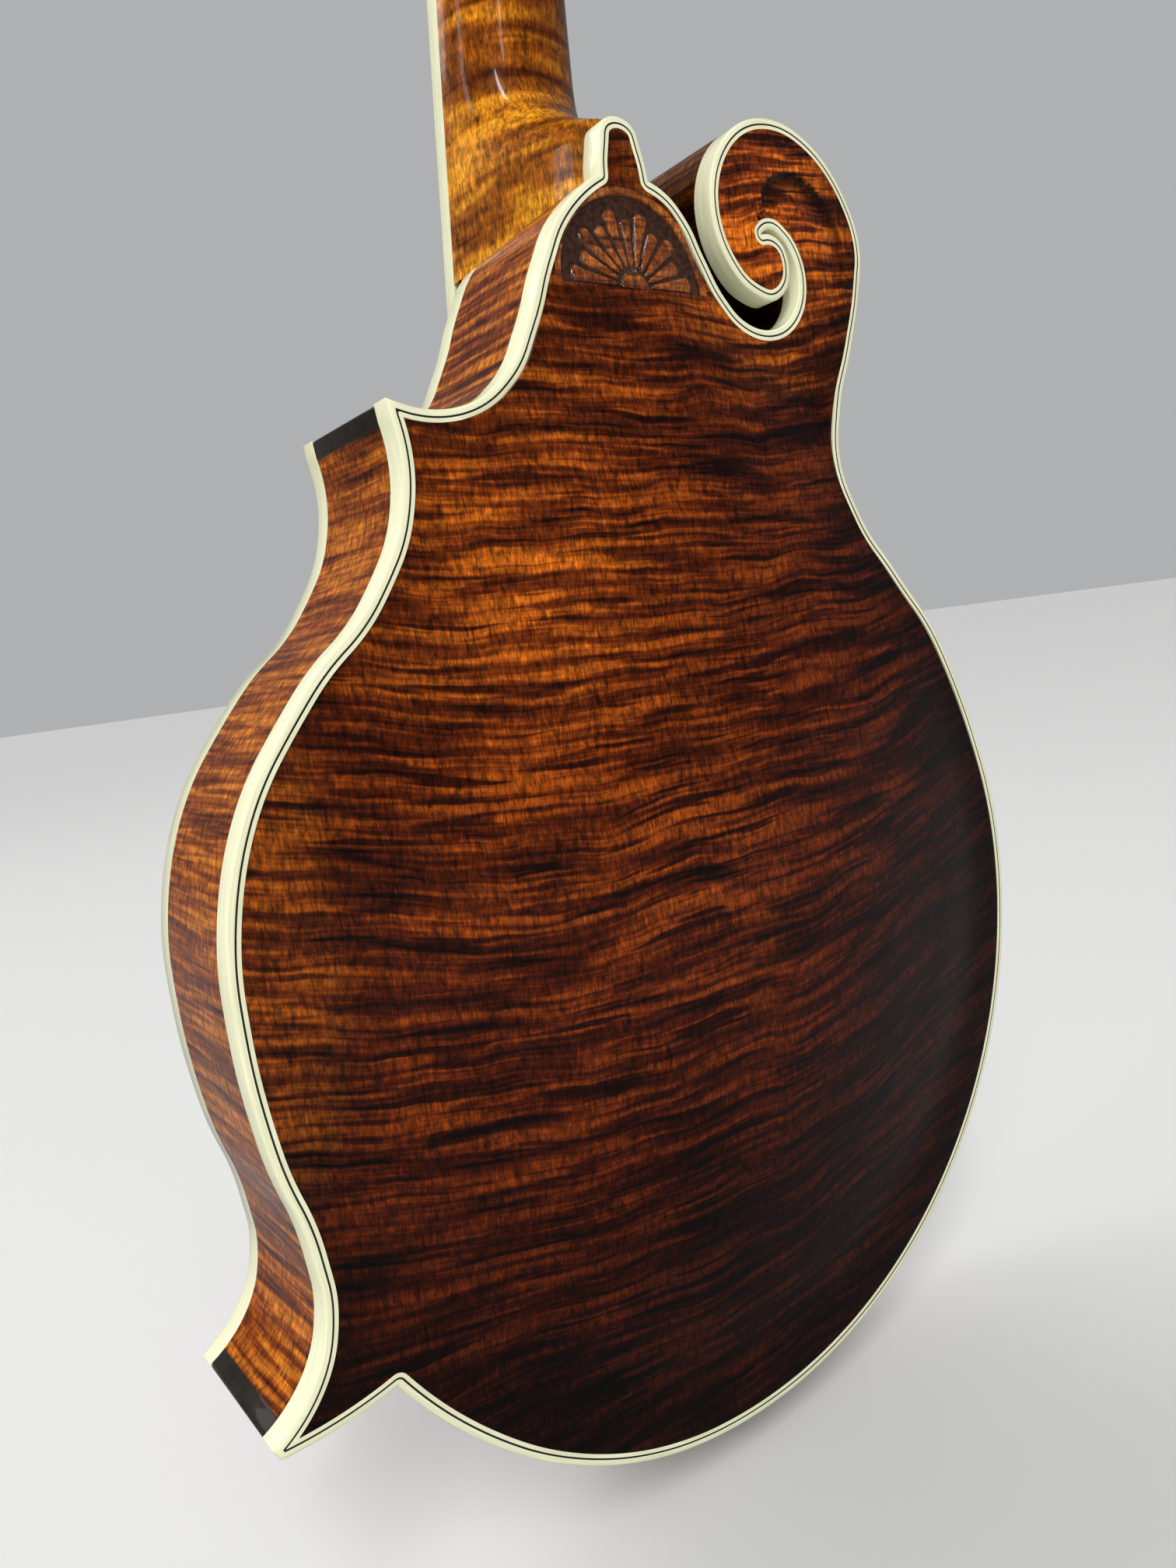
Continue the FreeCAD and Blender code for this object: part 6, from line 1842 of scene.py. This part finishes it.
def makeSaddle():
    b, low = bridgeSettings, saddleFoot
    long, thick = b["saddleLength"] / 2, b["width"] * 0.42
    places = sorted({-long, -long + 0.6, long - 0.6, long,
                     *np.linspace(-long + 1.5, long - 1.5, 45).tolist(),
                     *(stringSettings["bridgeSpread"] * (c / 3 - 0.5) + way * 0.25
                       for c in (0.5, 1.5, 2.5) for way in (-1, 1))})
    rings = []
    for x in places:
        fall = max(0.0, (abs(x) - 27) / (long - 27))
        lift = crestY + b["saddleHeight"] * 0.38 * fall ** 2
        step = ridgePlace(x) * (1 - min(1.0, max(0.0, (abs(x) - 24) / 3)))
        inset = 0.35 if abs(x) == long else 0.0
        ring = [(low - inset, -thick + inset), (low - inset, thick - inset),
                (lift + b["saddleHeight"] * 0.45, thick - inset),
                (lift + b["saddleHeight"] * 0.30, thick - 0.35 - inset),
                (lift + 0.35, step + b["crest"] / 2 + 0.3), (lift, step + b["crest"] / 2 - 0.2),
                (lift, step - b["crest"] / 2 + 0.2), (lift + 0.35, step - b["crest"] / 2 - 0.3),
                (lift + b["saddleHeight"] * 0.30, -thick + 0.35 + inset),
                (lift + b["saddleHeight"] * 0.45, -thick + inset)]
        rings.append([Vector((x, y, bridgeZ + z)) for y, z in ring])
    saddle = ringsPiece("saddle", rings)
    for number, x in enumerate(spreadOf(stringSettings["bridgeSpread"],
                                        stringSettings["bridgePair"])):
        radius = stringSettings["radii"][number // 2]
        cutBy(saddle, rod("slot", radius + 0.1, -9.0, 9.0, 16,
                          Matrix.Translation((x, crestY - radius * 0.4, bridgeZ))))
    for side in (-1, 1):
        place = Matrix.Translation((side * b["stud"], low, bridgeZ)) @ turnX(90)
        cutBy(saddle, rod("bore", b["bore"], -2.0, 5.9, 28, place))
    finishPiece(saddle, "bridgeSaddle", "bridge_saddle", looks["ebony"],
                ["bridge_saddle"], smooth=35)


def makeStuds():
    b = bridgeSettings
    studs = []
    for side in (-1, 1):
        reach = studFoot - (saddleFoot - b["saddleHeight"] * 0.55)
        profile, height = [(0.0, 0.0), (1.3, 0.0)], 0.2
        while height < reach - 0.4:
            profile += [(1.3, height), (b["studRadius"], height + 0.3)]
            height += 0.6
        profile += [(1.3, reach - 0.1), (0.0, reach)]
        studs.append(turned("stud", profile, 28, Matrix.Translation(
            (side * b["stud"], studFoot, bridgeZ)) @ turnX(90)))
    finishPiece(joinPieces(studs), "bridgeStuds", "instrument", looks["brass"],
                ["bridge_studs"])


# Tailpiece and end pin

tailSettings = {
    "plateWidth": 34.0, "plateLength": 42.0, "thickness": 1.2, "hookRadius": 0.9,
    "hookHeight": 2.6, "tabWidth": 24.0, "tabHeight": 33.0, "coverHeight": 8.0,
    "coverLength": 74.0, "wall": 1.0, "gap": 0.3, "bore": 3.7,
    "screws": [(-8.0, 5.0), (8.0, 5.0), (0.0, -14.0)],
}
tailSettings["half"] = tailSettings["plateWidth"] / 2 + tailSettings["gap"] + tailSettings["wall"]


def hookPlaces():
    spread = spreadOf(tailSettings["plateWidth"] * 0.8, stringSettings["bridgePair"])
    return [Vector((x * 0.82, 0, tailSettings["plateLength"] * 0.55)) for x in spread]


def makeTailpiece():
    t = tailSettings
    half, deep = t["plateWidth"] / 2, t["thickness"]
    plate = block("plate", (-half, -deep, -deep), (half, 0.0, t["plateLength"]), tailFrame,
                  bevel=0.3)
    parts = [plate]
    for place in hookPlaces():
        r, high = t["hookRadius"], t["hookHeight"]
        hook = turned("hook", [(0.0, -0.4), (r, -0.4), (r, high - 1.2), (r * 0.75, high - 0.9),
                               (r * 0.75, high - 0.6), (r * 1.05, high - 0.35),
                               (r * 0.8, high), (0.0, high)], 20,
                      tailFrame @ Matrix.Translation(place - Vector((0, deep, 0))) @ turnX(90))
        parts.append(hook)
    low = -halfRim - deep
    tab = block("tab", (-t["tabWidth"] / 2, low, -deep), (t["tabWidth"] / 2,
                                                          low + t["tabHeight"], -0.02),
                bevel=0.35)
    cutBy(tab, rod("bore", t["bore"], -4.0, 4.0, 40))
    parts.append(tab)
    piece = joinPieces(parts)
    finishPiece(piece, "tailpieceFrame", "instrument", looks["nickel"],
                ["tailpiece_frame"])
    for index, (x, y) in enumerate(t["screws"]):
        makeScrew(f"tailScrew{index + 1}", Matrix.Translation((x, y, -deep)) @ turnX(180), 1.9)


def coverLoop(half, length):
    rim = tailSettings["half"] * 1.05
    middle = tailSettings["coverLength"] - tailSettings["half"] * 0.9
    start = -tailSettings["thickness"] - tailSettings["gap"] - tailSettings["wall"]
    top = math.asin(min(1.0, (length - middle) / rim))
    turn = math.acos(half / rim)
    arc = [(rim * math.cos(turn + (top - turn) * k / 24),
            middle + rim * math.sin(turn + (top - turn) * k / 24)) for k in range(25)]
    return [(half, start), *arc, *((-x, z) for x, z in arc[::-1]), (-half, start)]


def makeCover():
    t = tailSettings
    front = -t["coverHeight"] - t["thickness"]
    shell = prism("shell", coverLoop(t["half"], t["coverLength"]), front, 0.0)
    foot = min(v.co.z for v in shell.data.vertices)
    bevelEdges(shell, lambda a, b: max(a.y, b.y) < front + 0.01 and max(a.z, b.z) > foot + 0.01,
               2.8, 6)
    tidyNormals(shell)
    inner = t["half"] - t["wall"]
    hollow = block("hollow", (-inner, front + t["wall"], -9), (inner, 3.0, 90))
    activate(hollow)
    for edge in hollow.data.edges:
        a, b = (hollow.data.vertices[i].co for i in edge.vertices)
        edge.select = max(a.y, b.y) < front + t["wall"] + 0.01 and abs(a.z - b.z) > 50
    bpy.ops.object.mode_set(mode="EDIT")
    bpy.ops.mesh.select_mode(type="EDGE")
    bpy.ops.mesh.bevel(offset=1.8, segments=6, affect="EDGES")
    bpy.ops.object.mode_set(mode="OBJECT")
    cutBy(shell, hollow)
    finishPiece(shell, "tailpieceCover", "tailpiece_cover", looks["nickel"],
                ["tailpiece_cover"], tailFrame, smooth=30)


def makeEndPin():
    pin = turned("pin", [
        (0.0, 12.0), (3.0, 12.0), (3.5, 11.2), (3.6, -1.2), (6.1, -1.2), (6.5, -1.5), (6.5, -2.1),
        (6.1, -2.5), (4.8, -3.3), (4.0, -4.6), (3.7, -6.0), (4.0, -7.6), (4.9, -9.0),
        (6.1, -10.1), (6.5, -11.0), (6.4, -12.0), (5.6, -13.2), (4.4, -13.8), (2.1, -14.0),
        (0.0, -14.0)], 56)
    finishPiece(pin, "endPin", "instrument", looks["ebony"], ["end_pin"], smooth=50)
    dot = turned("dot", [(0.0, -13.6), (1.9, -13.6), (1.9, -14.02), (1.2, -14.12),
                         (0.0, -14.15)], 32)
    finishPiece(dot, "endPinDot", "instrument", looks["pearl"])


# Strings

def tubeAlong(name, points, radius, sides=8):
    rings = []
    across = Vector((1, 0, 0))
    for i, point in enumerate(points):
        ahead = (points[min(i + 1, len(points) - 1)] - points[max(i - 1, 0)]).normalized()
        across = (across - ahead * across.dot(ahead)).normalized()
        up = ahead.cross(across)
        rings.append([point + (across * math.cos(2 * math.pi * k / sides)
                               + up * math.sin(2 * math.pi * k / sides)) * radius
                      for k in range(sides)])
    return ringsPiece(name, rings)


def courseOf(number):
    # a string's radius, which side of the peghead it goes to, and its post's number
    bass = number < 4
    order = (0, 1, 2, 3, 3, 2, 1, 0)[number]
    return stringSettings["radii"][number // 2], bass, (0 if bass else 4) + order


def stringLook(number):
    return ("string_bronze", looks["bronze"]) if number < 4 else ("steel", looks["steel"])


def postLevel(post, x, rise=0.0, z=0.0):
    # a place beside a post at the height where its string winds on
    level = -headSizes["postReach"] * 0.45
    return headFrame @ (tunerPlace(post) + Vector((x, level + rise, z)))


def makeString(number, hook):
    s, t = stringSettings, tailSettings
    radius, bass, post = courseOf(number)
    x = spreadOf(s["bridgeSpread"], s["bridgePair"])[number]
    nutX = spreadOf(s["nutSpread"], s["nutPair"])[number]
    high = -t["thickness"] - t["hookHeight"] * 0.6
    around = t["hookRadius"] + radius + 0.05
    loop = [tailFrame @ (hook + Vector((around * math.sin(2 * math.pi * k / 20), high,
                                        -around * math.cos(2 * math.pi * k / 20))))
            for k in range(20)]
    start = tailFrame @ (hook + Vector((0, high, around)))
    crest = Vector((x, crestY - radius * 0.6, bridgeZ + ridgePlace(x)))
    atNut = [boardFrame @ Vector((nutX, -boardSizes["nutHeight"] - radius * sunk,
                                  nutStation + past)) for sunk, past in ((0.3, 0.4), (0.2, 3.6))]
    way = 1 if bass else -1
    end = postLevel(post, way * (tunerSettings["waist"] + radius))
    corners = [start, crest, *atNut, end]
    points = []
    for a, b in zip(corners, corners[1:]):
        count = max(2, int((b - a).length / 12))
        points += [a + (b - a) * (k / count) for k in range(count)]
    line = tubeAlong("string", points + [end], radius)
    hoop = tubeAlong("loop", loop + [loop[0]], radius)
    ahead = (crest - start).normalized()
    twist = tubeAlong("twist", [start + ahead * k * 0.8 for k in range(12)], radius + 0.22, 10)
    slot, look = stringLook(number)
    finishPiece(joinPieces([line, hoop, twist]), f"string{number + 1}", "instrument", look,
                ["strings"] if number == 0 else [])


def makeWrap(number):
    radius, bass, post = courseOf(number)
    way, first = (1, 0.0) if bass else (-1, math.pi)
    around = tunerSettings["waist"] + radius
    turns = stringSettings["wraps"]
    steps = int(turns * 24)
    coil = []
    for k in range(steps + 1):
        angle = first + way * 2 * math.pi * turns * k / steps
        coil.append(postLevel(post, around * math.cos(angle), 2.05 * radius * turns * k / steps,
                              around * math.sin(angle)))
    wrap = tubeAlong("wrap", coil, radius)
    tail = tubeAlong("tail", [postLevel(post, -way * x) for x in (-1.0, 1.0, 3.0, 4.6)], radius)
    slot, look = stringLook(number)
    finishPiece(joinPieces([wrap, tail]), f"stringWrap{number + 1}", f"tuner_post_{post + 1}",
                look)


def makeStrings():
    for number, hook in enumerate(hookPlaces()):
        makeString(number, hook)
        makeWrap(number)


makeTuners()
makeBridgeBase()
makeSaddle()
makeWheel(-1)
makeWheel(1)
makeStuds()
makeTailpiece()
makeCover()
makeEndPin()
makeStrings()
print("tuners, bridge, tailpiece and strings ready")


# CAD nodes that stay as they are

keptNodes = {
    "innerWood": ["head_block", "tail_block", "upper_point_block", "lower_point_block",
                  "tone_bars"],
    "steel": ["truss_rod", "truss_rod_nut"],
}
for look, names in keptNodes.items():
    for name in names:
        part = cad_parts[name]
        part.data.materials.clear()
        part.data.materials.append(looks[look])
